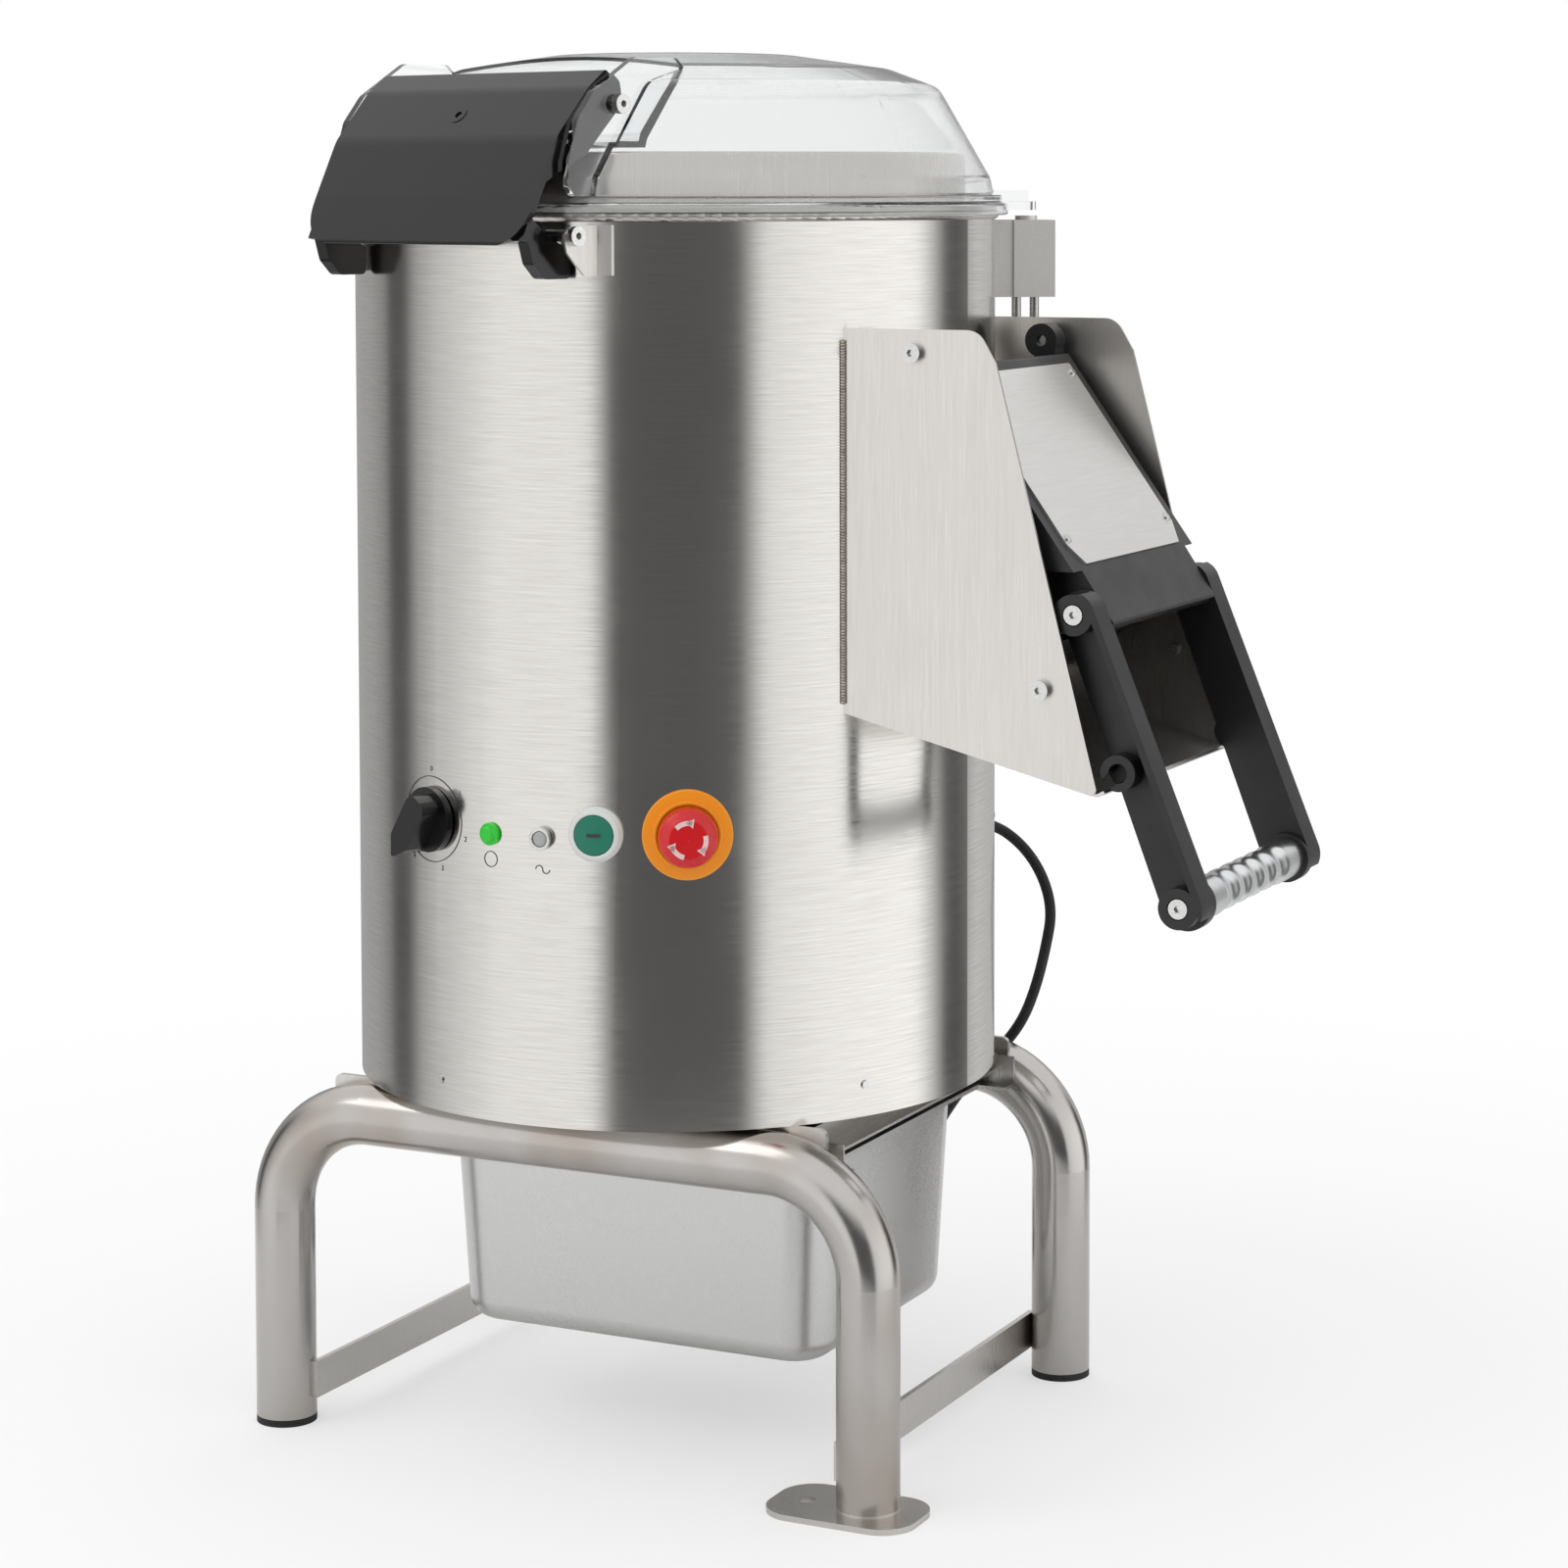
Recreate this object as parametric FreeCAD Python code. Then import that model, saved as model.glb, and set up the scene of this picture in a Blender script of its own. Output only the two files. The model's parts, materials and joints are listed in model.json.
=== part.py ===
import FreeCAD, Part
import math
import os

os.makedirs("parts", exist_ok=True)
V = FreeCAD.Vector

# Driving dimensions, all in millimetres and degrees
# The drum axis is Z, the floor is z = 0, the chute points to +X and the operator's side is -Y

# Stand
leg_tube_d = 42.4
leg_tube_wall = 2.0
leg_pitch_x = 456.0
leg_pitch_y = 330.0
stand_bar_z = 226.0
stand_bend_r = 72.0
foot_cap_t = 5.0
foot_plug_h = 16.0
foot_plug_clear = 0.2
floor_plate_t = 4.0
floor_plate_x = (162.0, 268.0)
floor_plate_y = (-202.0, -136.0)
floor_plate_corner = 24.0
floor_hole_r = 5.5
floor_hole_inset = 23.0
brace_h = 26.0
brace_t = 4.0
brace_z = 18.0
strip_t = 4.0
strip_len = 384.0
strip_setback = 13.0
strip_corner = 5.0

# Drum, tank and deck
drum_r = 226.0
drum_wall = 1.5
drum_bottom_z = 249.0
drum_top_z = 849.0
bead_h = 6.0
bead_out = 2.6
tank_r = 205.0
tank_wall = 1.5
tank_floor_z = 508.0
tank_floor_t = 3.0
tank_top_z = 892.0
tank_lip_r = 2.2
liner_t = 4.5
liner_top_z = 838.0
base_plate_t = 2.0
base_open_r = 176.0

# Chute and its throat
chute_half_w = 122.0
chute_t = 2.0
chute_top_z = 778.5
chute_top_x = 297.0
chute_low_x = 371.0
chute_low_z = 478.0
chute_back_z = 524.0
chute_corner = 15.0
chute_lip_x = 5.0
chute_lip_z = 3.0
throat_half_w = 95.0
throat_z = (532.0, 736.0)
throat_t = 2.0
throat_x = 231.0
gasket_t = 4.0
gasket_w = 8.0

# Door and discharge lever
hinge_x = 241.0
hinge_z = 763.0
hinge_bolt_r = 4.0
hinge_boss_r = 12.0
door_half_w = 109.0
door_seal_gap = 0.4
lip_top = (348.0, 624.0)
lip_low = (372.0, 588.0)
cover_half_w = 96.0
cover_t = 1.5
cover_top_inset = 9.0
cover_low_inset = 1.0
cover_chamfer = 16.0
lever_x = 352.0
lever_z = 595.0
lever_boss_r = 13.5
arm_in = 95.0
arm_out = 117.0
grip_x = 425.0
grip_z = 409.0
grip_r = 14.0
grip_collar_r = 17.0
grip_collar_t = 4.0
arm_w_top = 30.0
arm_w_low = 34.0
arm_web_t = 6.0
arm_rim = 5.0
bolt_clear = 0.05
head_clear = 0.8
grip_edge = 1.0
grip_waves = 5
grip_wave = 24.0
grip_wave_depth = 2.4
grip_bore_depth = 30.0
claw_x = 383.5
claw_z = 494.0
claw_in_r = 6.5
claw_out_r = 12.0
claw_mouth = 9.0
claw_mouth_way = (-0.75, 0.0, -0.66)
stop_pin_x = 332.0
stop_pin_z = 546.0
stop_pin_in = 4.0

# Lid
lid_flange_r = 235.0
lid_flange_z = 851.6
lid_wall = 4.0
lid_rise = 114.4
lid_seal_h = 3.6
ear_lap = 0.6
ear_t = 5.0
ear_half = 110.0
pocket_drop = 65.0
lid_hinge_rho = 250.0
lid_hinge_z = 857.0
lid_hinge_r = 4.0
lid_knuckle_r = 8.5
lid_knuckle_half = 34.0
tab_reach = 23.5

# Lid clamp lever, turned about the drum axis from the front
clamp_az = -16.0
clamp_rho = 172.0
clamp_drop = 40.0
clamp_pin_r = 3.0
clamp_half_w = 107.5
clamp_wall = 4.0
lip_below_flange = 17.6
lip_corner_r = 26.0
hood_boss_at = (206.6, -7.2)
hood_boss_way = (0.75, 0.66)
hood_boss_r = 6.5
hood_boss_h = 1.6
clamp_cheek_t = 5.0
catch_rho = 216.5
catch_z = 840.0
catch_pin_r = 4.0
catch_half = 116.0
catch_plate_t = 2.0
hook_half = (95.0, 105.0)
hook_clear = 0.5
hook_low_z = 812.0

# Controls on the front of the drum
control_z = 447.0
lamp_z = 442.4
knob_az = -19.0
run_lamp_az = -5.3
power_lamp_az = 4.8
start_az = 14.4
stop_az = 29.7
knob_skirt_r = 22.0
knob_skirt_h = 5.0
knob_h = 21.0
knob_tip = 31.0
knob_rest_turn = -55.0
knob_shaft_r = 3.0
lamp_r = 7.6
start_bezel_r = 18.5
start_button_r = 13.2
start_travel = 2.5
stop_plate_r = 30.0
stop_cap_r = 20.0
stop_neck_r = 11.0
stop_travel = 4.0
control_gap = 0.3

# Interlock box beside the chute
box_az = 125.0
box_reach = 44.0
box_cover_w = 30.0
box_h = 55.0
box_top_z = 847.5
box_half_t = 20.0
sensor_disc_r = 8.0
rod_r = 3.4
rod_len = 60.0

# Pan and its rails
pan_len_x = 325.0
pan_side_gap = 9.3
pan_centre_x = 21.0
pan_rim_z = 221.0
pan_depth = 150.0
pan_wall = 1.2
pan_rim_w = 13.0
pan_taper = 8.0
pan_corner = 34.0
pan_floor_r = 16.0
rail_t = 2.0
rail_lip = 17.0
rail_up = 22.0
rail_len = 396.0
rail_x0 = -196.0
cross_rail_w = 18.0
cross_rail_up = 17.0
pan_gap = 0.3

# Drive under the tank
disc_r = 194.0
disc_z = 522.0
disc_t = 12.0
wave_h = 9.0
wave_n = 3
shaft_r = 12.5
shaft_clear = 0.05
hub_r = 42.0
hub_h = 96.0
big_pulley_r = 98.0
small_pulley_r = 30.0
pulley_w = 18.0
pulley_z = 268.0
belt_depth = 8.0
belt_gap = 0.3
motor_x = -134.0
motor_r = 62.0
motor_h = 150.0
motor_plate_z = 300.0
motor_plate_t = 5.0
motor_shaft_r = 8.0
waste_x = (120.0, 160.0)
waste_half_w = 62.0
waste_t = 1.5
waste_low_z = 236.0

# Screws and fittings
socket_head_r = 6.5
socket_head_h = 5.0
socket_r = 2.6
socket_depth = 2.6
pan_head_r = 5.6
pan_head_h = 3.0
rivet_r = 3.0
inlet_az = 196.0
inlet_z = 800.0
inlet_r = 13.2
gland_az = 150.0
gland_z = 397.0
gland_len = 22.0
gland_r = 9.0
cord_r = 4.0
coil_x = -116.0
coil_y = 327.0
coil_r = 62.0
coil_w = 22.0
coil_h = 24.0
plug_r = 17.0
plug_z = 17.3


# Small shape helpers

def box(x0, x1, y0, y1, z0, z1):
    return Part.makeBox(x1 - x0, y1 - y0, z1 - z0, V(x0, y0, z0))


def rod(r, length, base, axis=V(0, 0, 1)):
    return Part.makeCylinder(r, length, base, axis)


def pipe(ro, ri, length, base, axis=V(0, 0, 1)):
    return rod(ro, length, base, axis).cut(rod(ri, length, base, axis))


def xz(y):
    return lambda u, v: V(u, y, v)


def xy(z):
    return lambda u, v: V(u, v, z)


def yz(x):
    return lambda u, v: V(x, u, v)


def outline(points, place):
    # A closed outline of straight sides, each corner (u, v, r) rounded by its own radius
    n = len(points)
    corners = []
    for i in range(n):
        u, v = points[i][0], points[i][1]
        r = points[i][2] if len(points[i]) > 2 else 0.0
        p = points[i - 1]
        q = points[(i + 1) % n]
        a = V(p[0] - u, p[1] - v, 0)
        b = V(q[0] - u, q[1] - v, 0)
        la, lb = a.Length, b.Length
        a.normalize()
        b.normalize()
        half = math.acos(max(-1.0, min(1.0, a.dot(b)))) / 2
        if r <= 0 or half > math.pi / 2 - 0.01:
            corners.append([V(u, v, 0)])
            continue
        back = min(r / math.tan(half), 0.48 * la, 0.48 * lb)
        r = back * math.tan(half)
        mid = a + b
        mid.normalize()
        centre = V(u, v, 0) + mid * (r / math.sin(half))
        top = centre - mid * r
        corners.append([V(u, v, 0) + a * back, top, V(u, v, 0) + b * back])
    edges = []
    for i in range(n):
        c = corners[i]
        d = corners[(i + 1) % n]
        if len(c) == 3:
            arc = Part.Arc(place(c[0].x, c[0].y), place(c[1].x, c[1].y), place(c[2].x, c[2].y))
            edges.append(arc.toShape())
        start, end = c[-1], d[0]
        if (end - start).Length > 1e-6:
            edges.append(Part.LineSegment(place(start.x, start.y), place(end.x, end.y)).toShape())
    return Part.Wire(edges)


def prism(points, place, along):
    return Part.Face(outline(points, place)).extrude(along)


def revolved(points, centre=V(0, 0, 0), axis=V(0, 0, 1), sweep=360.0):
    # A solid turned about Z from an (r, z) outline
    face = Part.Face(outline(points, lambda u, v: V(u, 0, v)))
    solid = face.revolve(V(0, 0, 0), V(0, 0, 1), sweep)
    solid.translate(centre)
    return solid


def turned(shape, az):
    # Turn a shape modelled at the front (-Y) round the drum axis
    out = shape.copy()
    out.rotate(V(0, 0, 0), V(0, 0, 1), az)
    return out


def mirrored_y(shape):
    return shape.mirror(V(0, 0, 0), V(0, 1, 0))


def mirrored_x(shape):
    return shape.mirror(V(0, 0, 0), V(1, 0, 0))


def both_y(shape):
    return [shape, mirrored_y(shape)]


def both_x(shape):
    return [shape, mirrored_x(shape)]


def rounded_box_wire(hx, hy, r, z, cx=0.0):
    points = [(cx - hx, -hy, r), (cx + hx, -hy, r), (cx + hx, hy, r), (cx - hx, hy, r)]
    return outline(points, xy(z))


def save(name, shapes):
    shapes = shapes if isinstance(shapes, list) else [shapes]
    solids = []
    for s in shapes:
        solids += s.removeSplitter().Solids
    out = solids[0] if len(solids) == 1 else Part.makeCompound(solids)
    out.exportStep("parts/" + name + ".step")
    print(name, len(solids), round(sum(s.Volume for s in solids)))


def socket_screw(base, axis, shank_r, shank_len):
    # A cap screw whose head bears at base and whose shank runs against the axis
    head = rod(socket_head_r, socket_head_h, base, axis)
    hex_points = []
    for k in range(6):
        a = math.radians(60 * k)
        hex_points.append((socket_r * math.cos(a), socket_r * math.sin(a)))
    socket = prism(hex_points, xy(0), V(0, 0, socket_depth + 1))
    turn = FreeCAD.Rotation(V(0, 0, 1), axis)
    socket.Placement = FreeCAD.Placement(base + axis * (socket_head_h - socket_depth), turn)
    shank = rod(shank_r, shank_len, base - axis * shank_len, axis)
    return head.cut(socket).fuse(shank)


def pan_screw(base, axis, head_r, head_h, shank_r, shank_len):
    # A pan head, bearing at base, with a short shank behind it
    points = [(0, -shank_len), (shank_r, -shank_len), (shank_r, 0), (head_r, 0), (head_r, head_h, 0.8 * head_h), (0, head_h)]
    screw = revolved(points)
    screw.Placement = FreeCAD.Placement(base, FreeCAD.Rotation(V(0, 0, 1), axis))
    return screw


# Derived positions, each used by several pieces
leg_r = leg_tube_d / 2
leg_x = leg_pitch_x / 2
leg_y = leg_pitch_y / 2
bar_inner_y = leg_y - leg_r
pan_len_y = 2 * (bar_inner_y - rail_t - pan_side_gap)
tank_in_r = tank_r - tank_wall
liner_in_r = tank_in_r - liner_t
chute_in_w = chute_half_w - chute_t
seal_x = throat_x + gasket_t
lid_crown_z = lid_flange_z + lid_rise
pocket_z = lid_crown_z - pocket_drop
clamp_z = lid_crown_z - clamp_drop
lip_bottom_z = lid_flange_z - lip_below_flange
lip_slope = V(lip_top[0] - hinge_x, 0, lip_top[1] - hinge_z)


# Stand

def leg_frame(y):
    top_x = leg_x - stand_bend_r
    low_z = stand_bar_z - stand_bend_r
    s = stand_bend_r * math.sqrt(0.5)
    bend_l = V(-top_x - s, y, low_z + s)
    bend_r = V(top_x + s, y, low_z + s)
    edges = [
        Part.LineSegment(V(-leg_x, y, foot_cap_t), V(-leg_x, y, low_z)).toShape(),
        Part.Arc(V(-leg_x, y, low_z), bend_l, V(-top_x, y, stand_bar_z)).toShape(),
        Part.LineSegment(V(-top_x, y, stand_bar_z), V(top_x, y, stand_bar_z)).toShape(),
        Part.Arc(V(top_x, y, stand_bar_z), bend_r, V(leg_x, y, low_z)).toShape(),
        Part.LineSegment(V(leg_x, y, low_z), V(leg_x, y, foot_cap_t)).toShape(),
    ]
    path = Part.Wire(edges)
    start = V(-leg_x, y, foot_cap_t)
    rings = [Part.Wire(Part.makeCircle(r, start, V(0, 0, 1))) for r in (leg_r, leg_r - leg_tube_wall)]
    solids = [path.makePipeShell([ring], True, False) for ring in rings]
    return solids[0], solids[0].cut(solids[1])


def foot_cap(x, y):
    plug_r = leg_r - leg_tube_wall - foot_plug_clear
    return rod(leg_r, foot_cap_t, V(x, y, 0)).fuse(rod(plug_r, foot_plug_h, V(x, y, foot_cap_t)))


def floor_plate():
    x0, x1 = floor_plate_x
    y0, y1 = floor_plate_y
    r = floor_plate_corner
    plate = prism([(x0, y0, r), (x1, y0, r), (x1, y1, r), (x0, y1, r)], xy(0), V(0, 0, floor_plate_t))
    hole = rod(floor_hole_r, floor_plate_t, V(x0 + floor_hole_inset, (y0 + y1) / 2, 0))
    plug_r = leg_r - leg_tube_wall - foot_plug_clear
    spacer = rod(leg_r, foot_cap_t - floor_plate_t, V(leg_x, -leg_y, floor_plate_t))
    plug = rod(plug_r, foot_plug_h, V(leg_x, -leg_y, foot_cap_t))
    return plate.cut(hole).fuse(spacer).fuse(plug)


def support_strip(side, tube):
    y = side * (leg_y - strip_setback)
    hx = strip_len / 2
    points = [(-hx, stand_bar_z), (hx, stand_bar_z), (hx, drum_bottom_z, strip_corner), (-hx, drum_bottom_z, strip_corner)]
    strip = prism(points, xz(y - strip_t / 2), V(0, strip_t, 0)).cut(tube)
    return max(strip.Solids, key=lambda s: s.BoundBox.ZMax)


def brace():
    x1 = leg_x - leg_r
    return box(x1 - brace_t, x1, -leg_y, leg_y, brace_z, brace_z + brace_h)


# Drum, deck, tank and liner

def radial_hole(r, az, z, depth=60.0):
    # A straight hole through the drum wall at an angle round from the front
    return turned(rod(r, depth, V(0, -drum_r - depth / 2, z), V(0, 1, 0)), az)


def throat_block(grow, x0, x1):
    w = throat_half_w + grow
    return box(x0, x1, -w, w, throat_z[0] - grow, throat_z[1] + grow)


def drum_shell():
    shell = pipe(drum_r, drum_r - drum_wall, drum_top_z - drum_bottom_z, V(0, 0, drum_bottom_z))
    shell = shell.cut(throat_block(throat_t, 0, drum_r + 1))
    holes = [
        radial_hole(knob_shaft_r + 1.5, knob_az, control_z),
        radial_hole(lamp_r - 2.5, run_lamp_az, lamp_z),
        radial_hole(lamp_r - 2.5, power_lamp_az, lamp_z),
        radial_hole(start_button_r + 0.6, start_az, control_z),
        radial_hole(stop_neck_r, stop_az, control_z),
        radial_hole(gland_r - 2.0, gland_az, gland_z),
        radial_hole(inlet_r - 3.0, inlet_az, inlet_z),
    ]
    for h in holes:
        shell = shell.cut(h)
    return shell


def top_deck():
    bead_mid = drum_top_z + bead_h / 2
    points = [
        (tank_r, drum_top_z, 0),
        (drum_r + bead_out, drum_top_z, bead_h / 2.2),
        (drum_r + bead_out, drum_top_z + bead_h, bead_h / 2.2),
        (drum_r - bead_h, drum_top_z + bead_h, 2.0),
        (drum_r - bead_h - 2.0, drum_top_z + drum_wall, 0),
        (tank_r, drum_top_z + drum_wall, 0),
    ]
    return revolved(points)


def peeling_tank():
    lip = tank_lip_r
    wall = pipe(tank_r, tank_in_r, tank_top_z - tank_floor_z, V(0, 0, tank_floor_z))
    floor = rod(tank_r, tank_floor_t, V(0, 0, tank_floor_z)).cut(rod(hub_r, tank_floor_t, V(0, 0, tank_floor_z)))
    curl = Part.makeTorus(tank_in_r - lip + tank_wall, lip, V(0, 0, tank_top_z))
    tank = wall.fuse(floor).fuse(curl)
    drain = box(waste_x[0] + waste_t, waste_x[1] - waste_t, -waste_half_w + waste_t, waste_half_w - waste_t,
                tank_floor_z - 1, tank_floor_z + tank_floor_t + 1)
    return tank.cut(drain).cut(throat_block(throat_t, 0, drum_r))


def abrasive_liner():
    low = tank_floor_z + tank_floor_t
    liner = pipe(tank_in_r, liner_in_r, liner_top_z - low, V(0, 0, low))
    return liner.cut(throat_block(throat_t, 0, drum_r))


def base_plate():
    r = drum_r - drum_wall
    return pipe(r, base_open_r, base_plate_t, V(0, 0, drum_bottom_z))


def waste_duct():
    x0, x1 = waste_x
    w = waste_half_w
    outer = box(x0, x1, -w, w, waste_low_z, tank_floor_z)
    t = waste_t
    inner = box(x0 + t, x1 - t, -w + t, w - t, waste_low_z, tank_floor_z)
    return outer.cut(inner)


# Chute

def chute_plate_points():
    return [
        (drum_r * 0.6, chute_top_z, 0),
        (chute_top_x - 10, chute_top_z, chute_corner),
        (chute_top_x + 3, chute_top_z - 22, 0),
        (chute_low_x, chute_low_z + 4, 3.0),
        (chute_low_x - 4, chute_low_z + 1, 0),
        (drum_r * 0.6, chute_back_z + 12, 0),
    ]


def chute_plates():
    plate = prism(chute_plate_points(), xz(-chute_half_w), V(0, chute_t, 0))
    plate = plate.cut(rod(drum_r, 900, V(0, 0, 100)))
    hinge_hole = rod(hinge_bolt_r + 0.1, chute_t, V(hinge_x, -chute_half_w, hinge_z), V(0, 1, 0))
    stop_hole = rod(hinge_bolt_r + 0.1, chute_t, V(stop_pin_x, -chute_half_w, stop_pin_z), V(0, 1, 0))
    plate = plate.cut(hinge_hole).cut(stop_hole)
    return both_y(plate)


def chute_floor():
    slope = (chute_back_z - chute_low_z) / (chute_low_x - 188.0)
    back_z = chute_low_z + slope * (chute_low_x - 150.0)
    t = chute_t
    points = [
        (150.0, back_z, 0),
        (chute_low_x, chute_low_z, 3.0),
        (chute_low_x + chute_lip_x, chute_low_z + chute_lip_z, 0),
        (chute_low_x + chute_lip_x - 1.2, chute_low_z + chute_lip_z + 1.6, 0),
        (chute_low_x - 0.6, chute_low_z + t + 0.2, 2.0),
        (150.0, back_z + t, 0),
    ]
    sheet = prism(points, xz(-chute_in_w), V(0, 2 * chute_in_w, 0))
    return sheet.cut(rod(drum_r, 900, V(0, 0, 100)))


def throat_collar():
    outer = throat_block(throat_t, 100.0, throat_x)
    inner = throat_block(0.0, 90.0, throat_x + 1)
    return outer.cut(inner).cut(rod(liner_in_r, 900, V(0, 0, 100)))


def throat_gasket():
    outer = throat_block(gasket_w / 2, throat_x, seal_x)
    inner = throat_block(-gasket_w / 2, throat_x - 1, seal_x + 1)
    return outer.cut(inner)


def chute_screws():
    hinge = socket_screw(V(hinge_x, -chute_half_w, hinge_z), V(0, -1, 0), hinge_bolt_r, chute_half_w - door_half_w + 12)
    stop = socket_screw(V(stop_pin_x, -chute_half_w, stop_pin_z), V(0, -1, 0), hinge_bolt_r, chute_t + stop_pin_in)
    return both_y(hinge) + both_y(stop)


# Door, turning on the two upper screws

def door_panel():
    # One moulding: hinge lugs, sloping face, thick lower lip and a plug that closes the throat
    x0 = seal_x + door_seal_gap
    points = [
        (x0, throat_z[0] - gasket_w / 2, 0),
        (x0 + 7, throat_z[0] - gasket_w / 2, 2.0),
        (lip_low[0] - 34, lip_low[1] - 6, 6.0),
        (lip_low[0] - 6, lip_low[1] - 5, 4.0),
        (lip_low[0], lip_low[1], 2.0),
        (lip_top[0], lip_top[1], 2.5),
        (hinge_x + 14, hinge_z - 9, 3.0),
        (x0, hinge_z - 14, 0),
    ]
    body = prism(points, xz(-door_half_w), V(0, 2 * door_half_w, 0))
    lug = rod(hinge_boss_r, 16.0, V(hinge_x, -door_half_w, hinge_z), V(0, 1, 0))
    web = box(hinge_x - 5, hinge_x + hinge_boss_r - 1, -door_half_w, -door_half_w + 16.0, hinge_z - 16, hinge_z)
    body = body.fuse(lug.fuse(web)).fuse(mirrored_y(lug.fuse(web)))
    bore = rod(hinge_bolt_r + 0.05, 2 * door_half_w + 2, V(hinge_x, -door_half_w - 1, hinge_z), V(0, 1, 0))
    # The sides of the lower half step in behind the lever arms
    side = box(lever_x - 60, lip_low[0] + 10, arm_in - 0.4, door_half_w + 1, lip_low[1] - 30, lip_top[1] - 2)
    body = body.cut(bore).cut(side).cut(mirrored_y(side))
    hollow_points = [
        (x0 + 5, throat_z[0] + 14, 0),
        (lip_low[0] - 40, lip_low[1] - 14, 0),
        (lip_top[0] - 12, lip_top[1] - 10, 4.0),
        (hinge_x + 16, hinge_z - 24, 0),
        (x0 + 5, hinge_z - 24, 0),
    ]
    inside = arm_in - 6
    hollow = prism(hollow_points, xz(3.0), V(0, inside - 3.0, 0))
    screw_bore = rod(hinge_bolt_r, 12.0, V(lever_x, -arm_in - 0.4, lever_z), V(0, 1, 0))
    body = body.cut(mirrored_y(hollow)).cut(screw_bore).cut(mirrored_y(screw_bore))
    body = body.cut(hollow)
    return body


def slope_frame(points, offset, thick):
    # Place an outline (distance down the slope, y) on the door's sloping face
    sx, sz = hinge_x + 14, hinge_z - 9
    d = V(lip_top[0] - sx, 0, lip_top[1] - sz)
    d.normalize()
    n = V(-d.z, 0, d.x)
    origin = V(sx, 0, sz) + n * offset
    return prism(points, lambda u, v: origin + d * u + V(0, v, 0), n * thick)


def slope_length():
    return math.hypot(lip_top[0] - hinge_x - 14, lip_top[1] - hinge_z + 9)


def door_cover():
    w = cover_half_w
    s0 = cover_top_inset
    s1 = slope_length() - cover_low_inset
    c = cover_chamfer
    points = [(s0, -w, 2), (s1 - c, -w, 2), (s1, -w + c * 0.7, 2), (s1, w - c * 0.7, 2), (s1 - c, w, 2), (s0, w, 2)]
    return slope_frame(points, 0.0, cover_t)


def door_screws():
    sx, sz = hinge_x + 14, hinge_z - 9
    d = V(lip_top[0] - sx, 0, lip_top[1] - sz)
    d.normalize()
    n = V(-d.z, 0, d.x)
    out = []
    for s in (cover_top_inset + 8, slope_length() - cover_low_inset - cover_chamfer - 4):
        for side in (-1, 1):
            base = V(sx, side * (cover_half_w - 6), sz) + d * s + n * cover_t
            out.append(pan_screw(base, n, 3.2, 1.6, 1.4, 0.4))
    return out


# Discharge lever: two recessed arms, each with a claw, joined by the grip

def lever_arm():
    # A web on the inner side with a flange along the front edge, two screw bosses and a claw
    pivot = V(lever_x, 0, lever_z)
    foot = V(grip_x, 0, grip_z)
    d = foot - pivot
    length = d.Length
    d.normalize()
    n = V(-d.z, 0, d.x)
    width = arm_out - arm_in

    def at(s, side):
        p = pivot + d * s + n * side
        return (p.x, p.z)

    def across(radius, centre, start, depth):
        return rod(radius, depth, V(centre.x, start, centre.z), V(0, 1, 0))

    top_r, low_r = arm_w_top / 2, arm_w_low / 2
    blank = prism([at(0, top_r), at(length, low_r), at(length, -low_r), at(0, -top_r)], xz(-arm_out), V(0, width, 0))
    claw = V(claw_x, 0, claw_z)
    for radius, centre in ((top_r, pivot), (low_r, foot), (claw_out_r, claw)):
        blank = blank.fuse(across(radius, centre, -arm_out, width))
    depth = width - arm_web_t
    past = low_r + claw_out_r
    pocket = prism([at(-past, top_r - arm_rim), at(length + past, low_r - arm_rim), at(length + past, -past), at(-past, -past)],
                   xz(-arm_out), V(0, depth, 0))
    for radius, centre in ((lever_boss_r, pivot), (lever_boss_r, foot), (claw_out_r, claw)):
        pocket = pocket.cut(across(radius, centre, -arm_out, depth))
    blank = blank.cut(pocket)
    # The claw's bore and its mouth, open towards the chute
    m = V(*claw_mouth_way)
    m.normalize()
    k = V(-m.z, 0, m.x)
    half = claw_mouth / 2
    q = [claw + k * half, claw + k * half + m * past, claw - k * half + m * past, claw - k * half]
    mouth = prism([(p.x, p.z) for p in q], xz(-arm_out), V(0, depth, 0))
    blank = blank.cut(across(claw_in_r, claw, -arm_out, depth)).cut(mouth)
    for centre in (pivot, foot):
        blank = blank.cut(across(hinge_bolt_r + bolt_clear, centre, -arm_out, width))
        blank = blank.cut(across(socket_head_r + head_clear, centre, -arm_out, socket_head_h))
    return blank


def lever_grip():
    # A turned aluminium bar with finger waves along most of it
    half = arm_in - grip_collar_t
    edge = grip_edge
    valley = grip_r - grip_wave_depth
    start = -grip_wave * grip_waves / 2
    points = [(0, -half), (grip_r - edge, -half), (grip_r, -half + edge), (grip_r, start, grip_wave)]
    for i in range(grip_waves):
        points.append((valley, start + grip_wave * (i + 0.5), grip_wave))
        points.append((grip_r, start + grip_wave * (i + 1), grip_wave))
    points += [(grip_r, half - edge), (grip_r - edge, half), (0, half)]
    bar = revolved(points)
    bar.rotate(V(0, 0, 0), V(1, 0, 0), 90)
    bar.translate(V(grip_x, 0, grip_z))
    bore = rod(hinge_bolt_r, grip_bore_depth, V(grip_x, -half, grip_z), V(0, 1, 0))
    return bar.cut(bore).cut(mirrored_y(bore))


def grip_collars():
    ring = pipe(grip_collar_r, hinge_bolt_r, grip_collar_t, V(grip_x, -arm_in, grip_z), V(0, 1, 0))
    return both_y(ring)


def grip_screws():
    seat = -arm_out + socket_head_h
    reach = arm_out - socket_head_h - arm_in + grip_collar_t + 26
    grip = socket_screw(V(grip_x, seat, grip_z), V(0, -1, 0), hinge_bolt_r, reach)
    return both_y(grip)


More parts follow.
